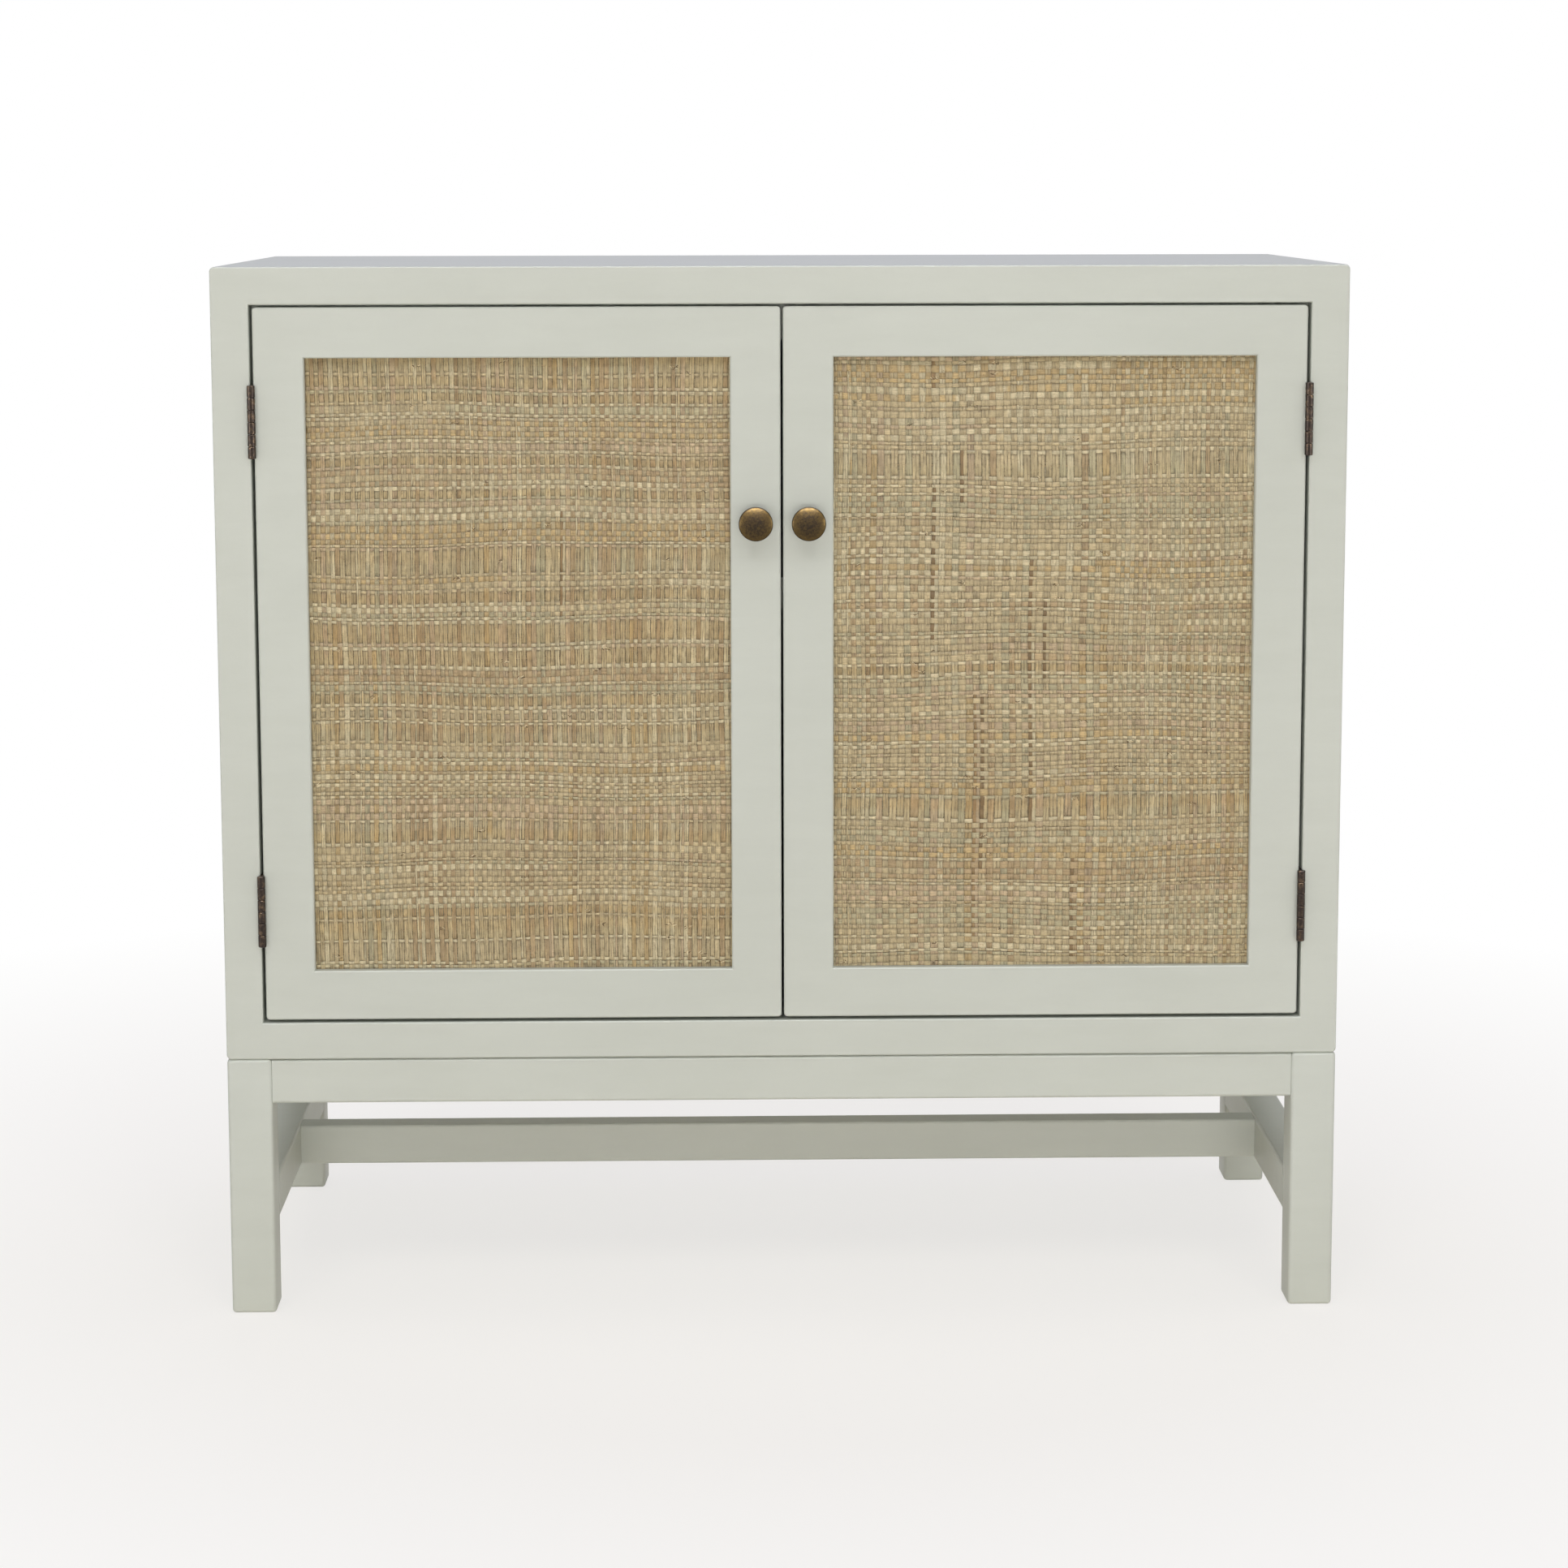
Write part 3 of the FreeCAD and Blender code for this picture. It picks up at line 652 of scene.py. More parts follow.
@dataclass(frozen=True)
class Strand:
    """One strip of the weave: where it lies, how wide it is and its colours along it."""

    place: float
    width: float
    colours: Lengths
    odd: int
    phase: float
    bend: float
    weft: Weft | None = None
    edges: Span = (-1.0, 1.0)
    floats: bool = False
    stain: Triple = CLEAR

    def colour_at(self, along: float) -> Vector:
        """The strip's colour at a place along it."""
        return next((colour for end, colour in self.colours if along < end), self.colours[-1][1])


@dataclass(frozen=True)
class BrownLength:
    """A brown length of an upright strip, in shares of the panel's width and height."""

    across: float
    start: float
    stop: float


@dataclass(frozen=True)
class FrayedSplice:
    """Short fibres, dark and pale, that stand off the weave where a strip is spliced."""

    straws: tuple[Straw, ...] = (*(Straw.BROWN,) * 3, Straw.TAN, *(Straw.PALE,) * 2)
    length: Span = (0.5 * MM, 1.6 * MM)
    width: Span = (0.16 * MM, 0.34 * MM)
    bends: int = 3
    curl: float = 0.4 * MM
    curl_forward: float = 0.3
    lean: float = 0.6
    spread: float = 3.5 * MM
    rise: float = 1.2 * MM
    brown_shade: float = 0.55

    def add(self, piece: Piece, chance: random.Random, place: Triple) -> None:
        """Adds one splice's fibres to a panel.

        Args:
            piece: The panel under way.
            chance: The chance that varies the fibres.
            place: The middle of the splice.
        """
        colour = piece.bm.verts.layers.float_color["strand"]
        for straw in self.straws:
            length = chance.uniform(*self.length)
            width = chance.uniform(*self.width)
            grid = bmesh.ops.create_grid(piece.bm, x_segments=1, y_segments=self.bends, size=1.0)
            verts = grid["verts"]
            curl = chance.uniform(-self.curl, self.curl)
            shade = self.brown_shade if straw is Straw.BROWN else 1.0
            for vert in verts:
                bow = curl * (1 - vert.co.y**2)
                forward = abs(bow) * self.curl_forward
                vert.co = (vert.co.x * width + bow, -forward, vert.co.y * length)
                vert[colour] = tint(straw.value) * shade
            turn = Matrix.Rotation(math.pi / 2 + chance.gauss(0, self.lean), 3, "Y")
            bmesh.ops.rotate(piece.bm, cent=(0, 0, 0), matrix=turn, verts=verts)
            aside = chance.uniform(-self.spread, self.spread)
            rise = chance.uniform(-self.rise, self.rise)
            spot = Vector((place[0] + aside, place[1], place[2] + rise))
            bmesh.ops.translate(piece.bm, vec=spot, verts=verts)


@dataclass
class WeavePanel:
    """A door's panel, woven of upright strips in small bundles and of rows across."""

    side: Side
    seed: int
    sunk_share: float
    wide_zone: Span
    browns: tuple[BrownLength, ...]
    bundle: Span = (3.0 * MM, 4.3 * MM)
    wide_bundle: Span = (4.7 * MM, 6.6 * MM)
    strip: float = 1.9 * MM
    wide_strip: float = 2.7 * MM
    cord_width: Span = (2.3 * MM, 3.3 * MM)
    row_width: Triple = (3.4 * MM, 7.0 * MM, 4.6 * MM)
    sunk_width: Triple = (4.5 * MM, 11.0 * MM, 6.5 * MM)
    flat_run: int = 3
    sunk_run: int = 2
    cord_runs: tuple[int, ...] = (1, 1, 2)
    float_share: float = 0.1
    float_width: float = 1.0 * MM
    float_hold: float = 0.8
    inner_edge: float = 0.84
    edge_dip: float = 0.14 * MM
    splice: Span = (90 * MM, 320 * MM)
    lift: float = 0.5 * MM
    cord_lift: float = 0.68 * MM
    float_lift: float = 0.95 * MM
    sunk_lift: float = 0.25
    crown: float = 0.26 * MM
    cord_crown: float = 0.4 * MM
    sunk_shade: float = 0.6
    warp_shade: float = 0.9
    tones: Span = (0.84, 1.04)
    splice_tones: Span = (0.9, 1.02)
    strip_tones: Span = (0.94, 1.06)
    brown_tones: Span = (1.05, 1.6)
    roughness: float = 0.22 * MM
    gap_share: Span = (0.02, 0.12)
    wander: float = 0.7 * MM
    row_wander: float = 1.5 * MM
    quick_share: float = 0.4
    drift_waves: tuple[Span, Span, Span] = ((9, 29), (16, 21), (41, -33))
    own_wander: float = 0.2 * MM
    own_waves: Span = (20, 60)
    width_wave: float = 0.12
    depth: float = 1.25 * MM
    hold_share: float = 0.27
    upright_points: int = 2
    row_points: int = 3
    flecks: int = 70
    fleck_depth: float = 0.4 * MM
    fleck: FrayedSplice = FrayedSplice()

    def __post_init__(self) -> None:
        """Reads the panel's place and starts the chance that varies its strips."""
        self.node = f"{self.side.word}_weave_panel"
        self.low, self.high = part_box(self.node)
        self.chance = random.Random(self.seed)
        self.phases = [self.chance.uniform(0, math.tau) for _ in self.drift_waves]

    def spliced(self, weights: dict[Straw, float], ends: Span) -> Lengths:
        """The colours of a strip that is spliced from several lengths.

        Args:
            weights: How often each colour comes.
            ends: Where the strip starts and stops.

        Returns:
            Where each length ends and its colour.
        """
        lengths = []
        at = ends[0]
        while at < ends[1]:
            at += self.chance.uniform(*self.splice)
            kind = self.chance.choices(list(weights), list(weights.values()))[0]
            colour = shaded(tint(kind.value), self.chance.uniform(*self.splice_tones))
            lengths.append((at, colour))
        return tuple(lengths)

    def browned(self, colours: Lengths, brown: BrownLength) -> Lengths:
        """An upright strip's colours with one brown length spliced in.

        Args:
            colours: Where each length ends and its colour.
            brown: The brown length.

        Returns:
            The new lengths.
        """
        height = self.high.z - self.low.z
        low = self.low.z + height * brown.start
        high = self.low.z + height * brown.stop
        under = next(colour for end, colour in colours if low < end)
        before = [length for length in colours if length[0] < low]
        after = [length for length in colours if length[0] > high]
        dark = shaded(tint(Straw.BROWN.value), self.chance.uniform(*self.brown_tones))
        return (*before, (low, under), (high, dark), *after)

    def shown(self, width: float) -> float:
        """A strip's width, less the gap beside it."""
        return width * (1 - self.chance.uniform(*self.gap_share))

    def jitter(self) -> float:
        """A small chance shift of one point of a strip."""
        return self.chance.uniform(-self.roughness, self.roughness)

    def bends(self) -> Span:
        """Where a strip's own small waves start and how close they lie."""
        return self.chance.uniform(0, math.tau), self.chance.uniform(*self.own_waves)

    def warps(self) -> list[Strand]:
        """The upright strips, bundled in twos and threes.

        Returns:
            The strips from left to right.
        """
        span = self.high.x - self.low.x
        strands = []
        at = self.low.x
        odd = 0
        while at < self.high.x - self.bundle[0]:
            share = (at - self.low.x) / span
            wide = self.wide_zone[0] <= share < self.wide_zone[1]
            pitch = self.chance.uniform(*(self.wide_bundle if wide else self.bundle))
            colours = self.spliced(UPRIGHT_STRAWS, (self.low.z, self.high.z))
            dark = colours
            for brown in self.browns:
                if share <= brown.across < share + pitch / span:
                    dark = self.browned(dark, brown)
            strands += self.bundled(at, pitch, wide, (dark, colours), odd)
            at += pitch
            odd = 1 - odd
        return strands

    def bundled(
        self, at: float, pitch: float, wide: bool, leaves: tuple[Lengths, Lengths], odd: int
    ) -> list[Strand]:
        """One bundle of upright strips, split from one leaf.

        Args:
            at: Its left edge.
            pitch: Its width with the gap beside it.
            wide: True for a bundle of broad strips.
            leaves: Where each length ends and its colour, for the first strip and for the others.
            odd: Which rows it goes over.

        Returns:
            The strips from left to right.
        """
        count = max(1, round(pitch / (self.wide_strip if wide else self.strip)))
        shown = self.shown(pitch)
        width = shown / count
        phase, bend = self.bends()
        strips = []
        for step in range(count):
            dim = self.warp_shade * self.chance.uniform(*self.strip_tones)
            toned = tuple((end, shaded(colour, dim)) for end, colour in leaves[min(step, 1)])
            inner = self.inner_edge
            edges = (-inner if step else -1.0, inner if step < count - 1 else 1.0)
            place = at + (pitch - shown) / 2 + width * (step + 0.5)
            strips.append(Strand(place, width, toned, odd, phase, bend, edges=edges))
        if not wide and self.chance.random() < self.float_share:
            pale = self.spliced(FLOAT_STRAWS, (self.low.z, self.high.z))
            place = strips[0].place
            strips[0] = Strand(place, self.float_width, pale, odd, phase, bend, floats=True)
        return strips

    def bundles(self, warps: Sequence[Strand]) -> list[Strand]:
        """The bundles as the rows meet them.

        Args:
            warps: The upright strips.

        Returns:
            One broad strip for each bundle.
        """
        whole = []
        for _, group in groupby(warps, key=attrgetter("odd")):
            strips = list(group)
            left = strips[0].place - strips[0].width / 2
            right = strips[-1].place + strips[-1].width / 2
            whole.append(replace(strips[0], place=(left + right) / 2, width=right - left))
        return whole

    def wefts(self) -> list[Strand]:
        """The rows: runs of broad rows, parted by cords.

        Returns:
            The rows from the bottom up.
        """
        ends = (self.low.x, self.high.x)
        rows = []
        at = self.low.z
        odd = 0
        kind = Weft.CORD
        left = 0
        while at < self.high.z - self.row_width[0]:
            if left == 0 and kind is Weft.CORD:
                sunk = self.chance.random() < self.sunk_share
                kind = Weft.SUNK if sunk else Weft.FLAT
                left = self.chance.randint(1, self.sunk_run if sunk else self.flat_run)
                broad = {self.chance.choice(ROW_LEADS): ROW_LEAD_WEIGHT, **ROW_STRAWS}
            elif left == 0:
                kind = Weft.CORD
                left = self.chance.choice(self.cord_runs)
            if kind is Weft.CORD:
                width = self.chance.uniform(*self.cord_width)
                colours = self.spliced(CORD_STRAWS, ends)
            else:
                broadness = self.sunk_width if kind is Weft.SUNK else self.row_width
                width = self.chance.triangular(*broadness)
                colours = self.spliced(broad, ends)
            shown = self.shown(width)
            stain = self.chance.choice(SUNK_STAINS) if kind is Weft.SUNK else CLEAR
            row = Strand(at + width / 2, shown, colours, odd, *self.bends(), kind, stain=stain)
            rows.append(row)
            at += width
            odd = 1 - odd
            left -= 1
        return rows

    def warp_height(self, warp: Strand, weft: Strand) -> float:
        """How far an upright strip stands forward where it meets a row.

        Args:
            warp: The upright strip.
            weft: The row.

        Returns:
            The height before the middle of the weave.
        """
        free = warp.floats and weft.weft is not Weft.CORD
        if free and self.chance.random() < self.float_hold:
            return self.float_lift
        if warp.odd == weft.odd:
            return self.lift
        return self.lift * self.sunk_lift if weft.weft is Weft.SUNK else -self.lift

    def weft_height(self, weft: Strand, warp: Strand) -> float:
        """How far a row stands forward where it meets a bundle of upright strips.

        Args:
            weft: The row.
            warp: The bundle.

        Returns:
            The height before the middle of the weave.
        """
        if weft.weft is Weft.SUNK or warp.odd == weft.odd:
            return -self.lift
        return self.cord_lift if weft.weft is Weft.CORD else self.lift

    def drift(self, x: float, z: float) -> Span:
        """How far the whole weave has drifted at a place.

        Args:
            x: The place in X.
            z: The place in Z.

        Returns:
            The drift in X and Z.
        """
        waves = zip(self.drift_waves, self.phases)
        aside, slow, quick = (math.sin(wave[0] * x + wave[1] * z + start) for wave, start in waves)
        return self.wander * aside, self.row_wander * (slow + self.quick_share * quick)

    def spot(self, strand: Strand, along: float, across: float, height: float) -> Triple:
        """The place of one point of a strip.

        Args:
            strand: The strip.
            along: The place along it.
            across: The place across it, from one edge at -1 to the other at 1.
            height: How far it stands forward there.

        Returns:
            The point, kept inside the panel's edges.
        """
        crown = self.cord_crown if strand.weft is Weft.CORD else self.crown
        wave = math.sin(along * strand.bend + strand.phase)
        half = strand.width / 2 * (1 + self.width_wave * wave)
        aside = across * half + self.own_wander * wave
        x, z = (along, strand.place - aside) if strand.weft else (strand.place + aside, along)
        drift_x, drift_z = self.drift(x, z)
        x = min(max(x + drift_x + self.jitter(), self.low.x), self.high.x)
        z = min(max(z + drift_z + self.jitter(), self.low.z), self.high.z)
        forward = height + crown * (1 - abs(across)) + self.jitter() / 2
        return x, self.low.y + self.depth - forward, z

    def lay(
        self,
        piece: Piece,
        strands: Sequence[Strand],
        courses: Sequence[Sequence[tuple[float, float, Vector]]],
        upright: bool,
    ) -> None:
        """Adds all the strips of one direction, cut from one grid.

        Args:
            piece: The panel under way.
            strands: The strips, side by side.
            courses: For each strip, the place along it, height and tone of each bend.
            upright: True for strips that run up, false for those that run across.
        """
        points = self.upright_points if upright else self.row_points
        columns = points * len(strands) - 1
        rows = len(courses[0]) - 1
        grid = bmesh.ops.create_grid(piece.bm, x_segments=columns, y_segments=rows, size=1.0)
        gaps = []
        for face in distinct(face for vert in grid["verts"] for face in vert.link_faces):
            face.material_index = 0 if upright else 1
            right = math.ceil((face.calc_center_median().x + 1) / 2 * columns)
            if right % points == 0:
                gaps.append(face)
        colour = piece.bm.verts.layers.float_color["strand"]
        side = piece.bm.verts.layers.float["across"]
        for vert in grid["verts"]:
            number, column = divmod(round((vert.co.x + 1) / 2 * columns), points)
            strand = strands[number]
            along, height, tone = courses[number][round((vert.co.y + 1) / 2 * rows)]
            across = 2 * column / (points - 1) - 1
            left, right = strand.edges
            edge = left + (right - left) * (across + 1) / 2
            if upright and abs(edge) == 1.0:
                height -= self.edge_dip
            vert.co = self.spot(strand, along, across, height)
            own = strand.colour_at(along)
            vert[colour] = [share * part for share, part in zip(own, tone)]
            vert[side] = edge
        bmesh.ops.delete(piece.bm, geom=gaps, context="FACES")

    def course(
        self, heights: Sequence[tuple[Strand, float]], ends: Span
    ) -> list[tuple[float, float, Vector]]:
        """The bends of one strip.

        Args:
            heights: Each strip that it meets, with its own height there.
            ends: Where the strip starts and stops.

        Returns:
            Place along the strip, height and tone of each bend.
        """
        bends = []
        for other, height in heights:
            hold = other.width * self.hold_share
            # Painted shade: a bend that dives behind the other strip is darkened by sunk_shade; a bend in front
            # gets a random tone.
            shade = self.chance.uniform(*self.tones) if height > 0 else self.sunk_shade
            tone = Vector((*(part * shade for part in other.stain), 1.0))
            bends += [(other.place - hold, height, tone), (other.place + hold, height, tone)]
        return [(ends[0], *bends[0][1:]), *bends, (ends[1], *bends[-1][1:])]

    def build(self) -> None:
        """Weaves the panel."""
        piece = Piece(f"{self.side.word}_raffia_weave")
        piece.bm.verts.layers.float_color.new("strand")
        piece.bm.verts.layers.float.new("across")
        for _ in range(self.flecks):
            x = self.chance.uniform(self.low.x, self.high.x)
            z = self.chance.uniform(self.low.z, self.high.z)
            self.fleck.add(piece, self.chance, (x, self.low.y + self.fleck_depth, z))
        warps = self.warps()
        wefts = self.wefts()
        upright = (self.low.z, self.high.z)
        across = (self.low.x, self.high.x)
        courses = [
            self.course([(weft, self.warp_height(warp, weft)) for weft in wefts], upright)
            for warp in warps
        ]
        self.lay(piece, warps, courses, True)
        bundles = self.bundles(warps)
        courses = [
            self.course([(warp, self.weft_height(weft, warp)) for warp in bundles], across)
            for weft in wefts
        ]
        self.lay(piece, wefts, courses, False)
        finishes = [RAFFIA_UPRIGHT, RAFFIA_ACROSS]
        piece.finish(self.side.door, Slot.RAFFIA, finishes, [self.node])


LEFT_BROWNS = (BrownLength(0.6, 0.58, 0.74),)
RIGHT_BROWNS = (
    BrownLength(0.25, 0.53, 0.78),
    BrownLength(0.25, 0.93, 1.0),
    BrownLength(0.32, 0.75, 0.84),
    BrownLength(0.346, 0.05, 0.45),
    BrownLength(0.362, 0.17, 0.45),
    BrownLength(0.477, 0.25, 0.665),
    BrownLength(0.517, 0.47, 0.6),
    BrownLength(0.583, 0.02, 0.2),
)


@dataclass(frozen=True)
class SunkScrew:
    """A countersunk screw with a driver recess, a hair proud of its plate."""

    head_radius: float = 2.4 * MM
    length: float = 14 * MM
    shank_share: float = 0.6
    point_share: float = 2.0
    recess_shares: Span = (0.45, 0.3)
    recess_depth: float = 0.8
    proud: float = 0.04 * MM
    steps: int = 20

    def drive(self, piece: Piece, place: Vector, into: Vector) -> None:
        """Adds one screw to a piece.

        Args:
            piece: The piece under way.
            place: The middle of the hole in the plate's face.
            into: The direction in which the screw is driven.
        """
        shank = self.head_radius * self.shank_share
        sink = self.head_radius - shank
        mouth, floor = (self.head_radius * share for share in self.recess_shares)
        outline = [
            (0.0, self.length),
            (shank, self.length - self.point_share * shank),
            (shank, sink),
            (self.head_radius, 0.0),
            (mouth, 0.0),
            (floor, sink * self.recess_depth),
            (0.0, sink),
        ]
        piece.turning(outline, place - into * self.proud, into, self.steps)


@dataclass(frozen=True)
class PanScrew:
    """A screw with a pan head and a driver recess."""

    shank: float = 2 * MM
    head_radius: float = 3.6 * MM
    head_depth: float = 2.4 * MM
    neck_depth: float = 2.5 * MM
    crown_depth: float = 0.8 * MM
    crown_share: float = 0.75
    recess_shares: Span = (0.4, 0.3)
    recess_depths: Span = (1.2 * MM, 1.3 * MM)
    steps: int = 24

    def drive(self, piece: Piece, place: Vector, into: Vector, length: float) -> None:
        """Adds the screw to a piece.

        Args:
            piece: The piece under way.
            place: The middle of its head.
            into: The direction in which the screw is driven.
            length: Its whole length.
        """
        mouth, floor = (self.head_radius * share for share in self.recess_shares)
        outline = [
            (0.0, length),
            (self.shank, length),
            (self.shank, self.neck_depth),
            (self.head_radius, self.head_depth),
            (self.head_radius, self.crown_depth),
            (self.head_radius * self.crown_share, 0.0),
            (mouth, 0.0),
            (floor, self.recess_depths[0]),
            (0.0, self.recess_depths[1]),
        ]
        piece.turning(outline, place, into, self.steps)


@dataclass
class Knob:
    """A turned knob with a low domed face, a shoulder painted lighter and an outer edge and middle painted darker
    as reflections, and its screw.
    """

    side: Side
    neck_radius: float = 4.6 * MM
    base_radius: float = 7.6 * MM
    base_height: float = 1.6 * MM
    base_edge: float = 0.7
    base_slope: float = 0.5 * MM
    cove: float = 0.6 * MM
    cove_height: float = 2.2 * MM
    flare: float = 1.4 * MM
    flare_share: float = 0.72
    flare_drops: Triple = (4.5 * MM, 2.0 * MM, 0.5 * MM)
    rim_height: float = 3.6 * MM
    rim_round: float = 0.7 * MM
    # Painted reflection: these values darken the head's outer edge and the middle of the dome and lighten the
    # shoulder, through the mesh attribute.
    rim_rubbed: float = -1.0
    shoulder_width: float = 2.2 * MM
    shoulder_height: float = 1.6 * MM
    shoulder_turn: float = math.radians(62)
    shoulder_rubbed: tuple[float, ...] = (-1.2, -1.0, -0.6, 0.0, 0.4, 0.4)
    dome: float = 2.4 * MM
    dome_steps: int = 8
    dome_rubbed: Span = (-0.15, 0.6)
    steps: int = 72
    screw: PanScrew = PanScrew()

    def profile(self, radius: float, length: float) -> list[tuple[float, ...]]:
        """The turned outline, from the foot round to the middle of the face.

        Args:
            radius: The radius of the head.
            length: The height of the whole knob.

        Returns:
            Radius, height and any painted reflection of each point.
        """
        rim_top = length - self.dome
        rim_low = rim_top - self.rim_height
        start, middle, end = (rim_low - drop for drop in self.flare_drops)
        points: list[tuple[float, ...]] = [
            (0.0, 0.0),
            (self.base_radius, 0.0),
            (self.base_radius, self.base_height * self.base_edge),
            (self.base_radius - self.base_slope, self.base_height),
            (self.neck_radius + self.cove, self.base_height + self.cove),
            (self.neck_radius, self.base_height + self.cove_height),
            (self.neck_radius, start),
            (self.neck_radius + self.flare, middle),
            (radius * self.flare_share, end),
            (radius - self.rim_round, rim_low),
            (radius, rim_low + self.rim_round, self.rim_rubbed),
        ]
        last = len(self.shoulder_rubbed) - 1
        for step, rubbed in enumerate(self.shoulder_rubbed):
            turn = self.shoulder_turn * step / last
            inset = self.shoulder_width * (1 - math.cos(turn))
            fall = self.shoulder_height * (math.sin(self.shoulder_turn) - math.sin(turn))
            points.append((radius - inset, rim_top - fall, rubbed))
        face = points[-1][0]
        inner, outer = self.dome_rubbed
        for step in range(1, self.dome_steps + 1):
            share = 1 - step / self.dome_steps
            height = length - self.dome * share**2
            points.append((face * share, height, outer * share**3 + inner))
        return points

    def build(self) -> None:
        """Turns the knob and the screw that holds it from behind."""
        node = f"{self.side.word}_knob"
        low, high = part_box(node)
        place = Vector(((low.x + high.x) / 2, high.y, (low.z + high.z) / 2))
        outline = self.profile((high.x - low.x) / 2, high.y - low.y)
        piece = Piece(f"{self.side.word}_turned_knob")
        piece.turning(outline, place, FORWARD, self.steps)
        piece.finish(self.side.door, Slot.BRASS, [BRASS], [node])

        node = f"{self.side.word}_knob_screw"
        low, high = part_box(node)
        piece = Piece(f"{node}_turned")
        head = Vector((place.x, high.y, place.z))
        self.screw.drive(piece, head, FORWARD, high.y - low.y)
        piece.finish(self.side.door, Slot.ZINC, [ZINC], [node])


class Level(Enum):
    """The two hinges of a door."""

    UPPER = "upper"
    LOWER = "lower"


class Leaf(Enum):
    """The two leaves of a hinge."""

    FRAME = "frame_leaf"
    DOOR = "door_leaf"


def mirrored(end: Sequence[Span], length: float) -> list[Span]:
    """A turned outline with both ends alike."""
    return [*end, *((radius, length - height) for radius, height in reversed(end))]


@dataclass
class Hinges:
    """One door's two butt hinges: leaves, knuckles, pins and screws."""

    side: Side
    barrel_radius: float = 3.2 * MM
    barrel_steps: int = 28
    knuckles: int = 6
    knuckle_gap: float = 0.35 * MM
    leaf_thick: float = 1.2 * MM
    leaf_play: float = 0.2 * MM
    neck_lap: float = 1 * MM
    edge_radius: float = 0.3 * MM
    edge_steps: int = 2
    pin_radius: float = 1.6 * MM
    pin_dome: float = 0.4 * MM
    pin_end: tuple[Span, ...] = ((0.0, -1.0), (0.7, -0.6), (1.0, 0.5))
    pin_steps: int = 24
    screw: SunkScrew = SunkScrew()
    screw_spacing: float = 34 * MM
    screw_setback: float = 9 * MM

    def __post_init__(self) -> None:
        """Reads the pins' axis from the door's joint."""
        name = f"{self.side.word}_door_hinge"
        joint = next(joint for joint in frame["joints"] if joint["name"] == name)
        self.axis = Vector(joint["pos_m"])

    def turned(self, piece: Piece, outline: Sequence[Span], foot: float, steps: int) -> None:
        """Adds a shape turned about the pins' axis."""
        piece.turning(outline, Vector((self.axis.x, self.axis.y, foot)), UP, steps)

    def towards(self, leaf: Leaf) -> int:
        """The direction along X from the pins to what a leaf is screwed to."""
        return -self.side.value if leaf is Leaf.DOOR else self.side.value

    def add_leaf(self, level: Level, leaf: Leaf) -> None:
        """Builds one leaf: its plate in the gap and every other knuckle.

        Args:
            level: Which hinge it belongs to.
            leaf: Which of the hinge's leaves it is.
        """
        node = f"{self.side.word}_{level.value}_{leaf.value}"
        low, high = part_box(node)
        on_door = leaf is Leaf.DOOR
        near = self.axis.x + self.leaf_play / 2 * self.towards(leaf)
        far = near + self.leaf_thick * self.towards(leaf)
        left, right = sorted((near, far))
        barrel_back = self.axis.y + self.barrel_radius
        piece = Piece(f"{node}_rolled")
        plate = (Vector((left, barrel_back, low.z)), Vector((right, high.y, high.z)))
        piece.block(*plate, self.edge_radius, self.edge_steps)
        pitch = (high.z - low.z) / self.knuckles
        soft = self.edge_radius
        end = [(0.0, 0.0), (self.barrel_radius - soft, 0.0), (self.barrel_radius, soft)]
        for place in range(1 if on_door else 0, self.knuckles, 2):
            foot = low.z + pitch * place + self.knuckle_gap / 2
            head = foot + pitch - self.knuckle_gap
            self.turned(piece, mirrored(end, head - foot), foot, self.barrel_steps)
            lap = barrel_back + self.neck_lap
            neck = (Vector((left, self.axis.y, foot)), Vector((right, lap, head)))
            piece.block(*neck, self.edge_radius, self.edge_steps)
        body = self.side.door if on_door else "cabinet"
        piece.finish(body, Slot.BRONZE, [BRONZE], [node])

    def add_pin(self, level: Level) -> None:
        """Builds one pin, its ends a little domed.

        Args:
            level: Which hinge it belongs to.
        """
        node = f"{self.side.word}_{level.value}_hinge_pin"
        low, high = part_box(node)
        end = [(self.pin_radius * out, self.pin_dome * up) for out, up in self.pin_end]
        piece = Piece(f"{node}_domed")
        self.turned(piece, mirrored(end, high.z - low.z), low.z, self.pin_steps)
        piece.finish("cabinet", Slot.BRONZE, [BRONZE], [node])

    def add_screws(self, piece: Piece, leaf: Leaf) -> None:
        """Adds the screws of this side's two leaves of one kind.

        Args:
            piece: The piece under way.
            leaf: The kind of leaf.
        """
        into = Vector((self.towards(leaf), 0, 0))
        x = self.axis.x + self.leaf_play / 2 * self.towards(leaf)
        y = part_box(f"{self.side.word}_hinge_stile")[0].y + self.screw_setback
        for level in Level:
            low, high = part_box(f"{self.side.word}_{level.value}_frame_leaf")
            for end in (-1, 1):
                z = (low.z + high.z) / 2 + self.screw_spacing / 2 * end
                self.screw.drive(piece, Vector((x, y, z)), into)

    def build(self) -> None:
        """Builds both hinges and the screws on the door."""
        for level in Level:
            for leaf in Leaf:
                self.add_leaf(level, leaf)
            self.add_pin(level)
        node = f"{self.side.word}_door_leaf_screws"
        piece = Piece(f"{node}_turned")
        self.add_screws(piece, Leaf.DOOR)
        piece.finish(self.side.door, Slot.BRONZE, [BRONZE], [node])


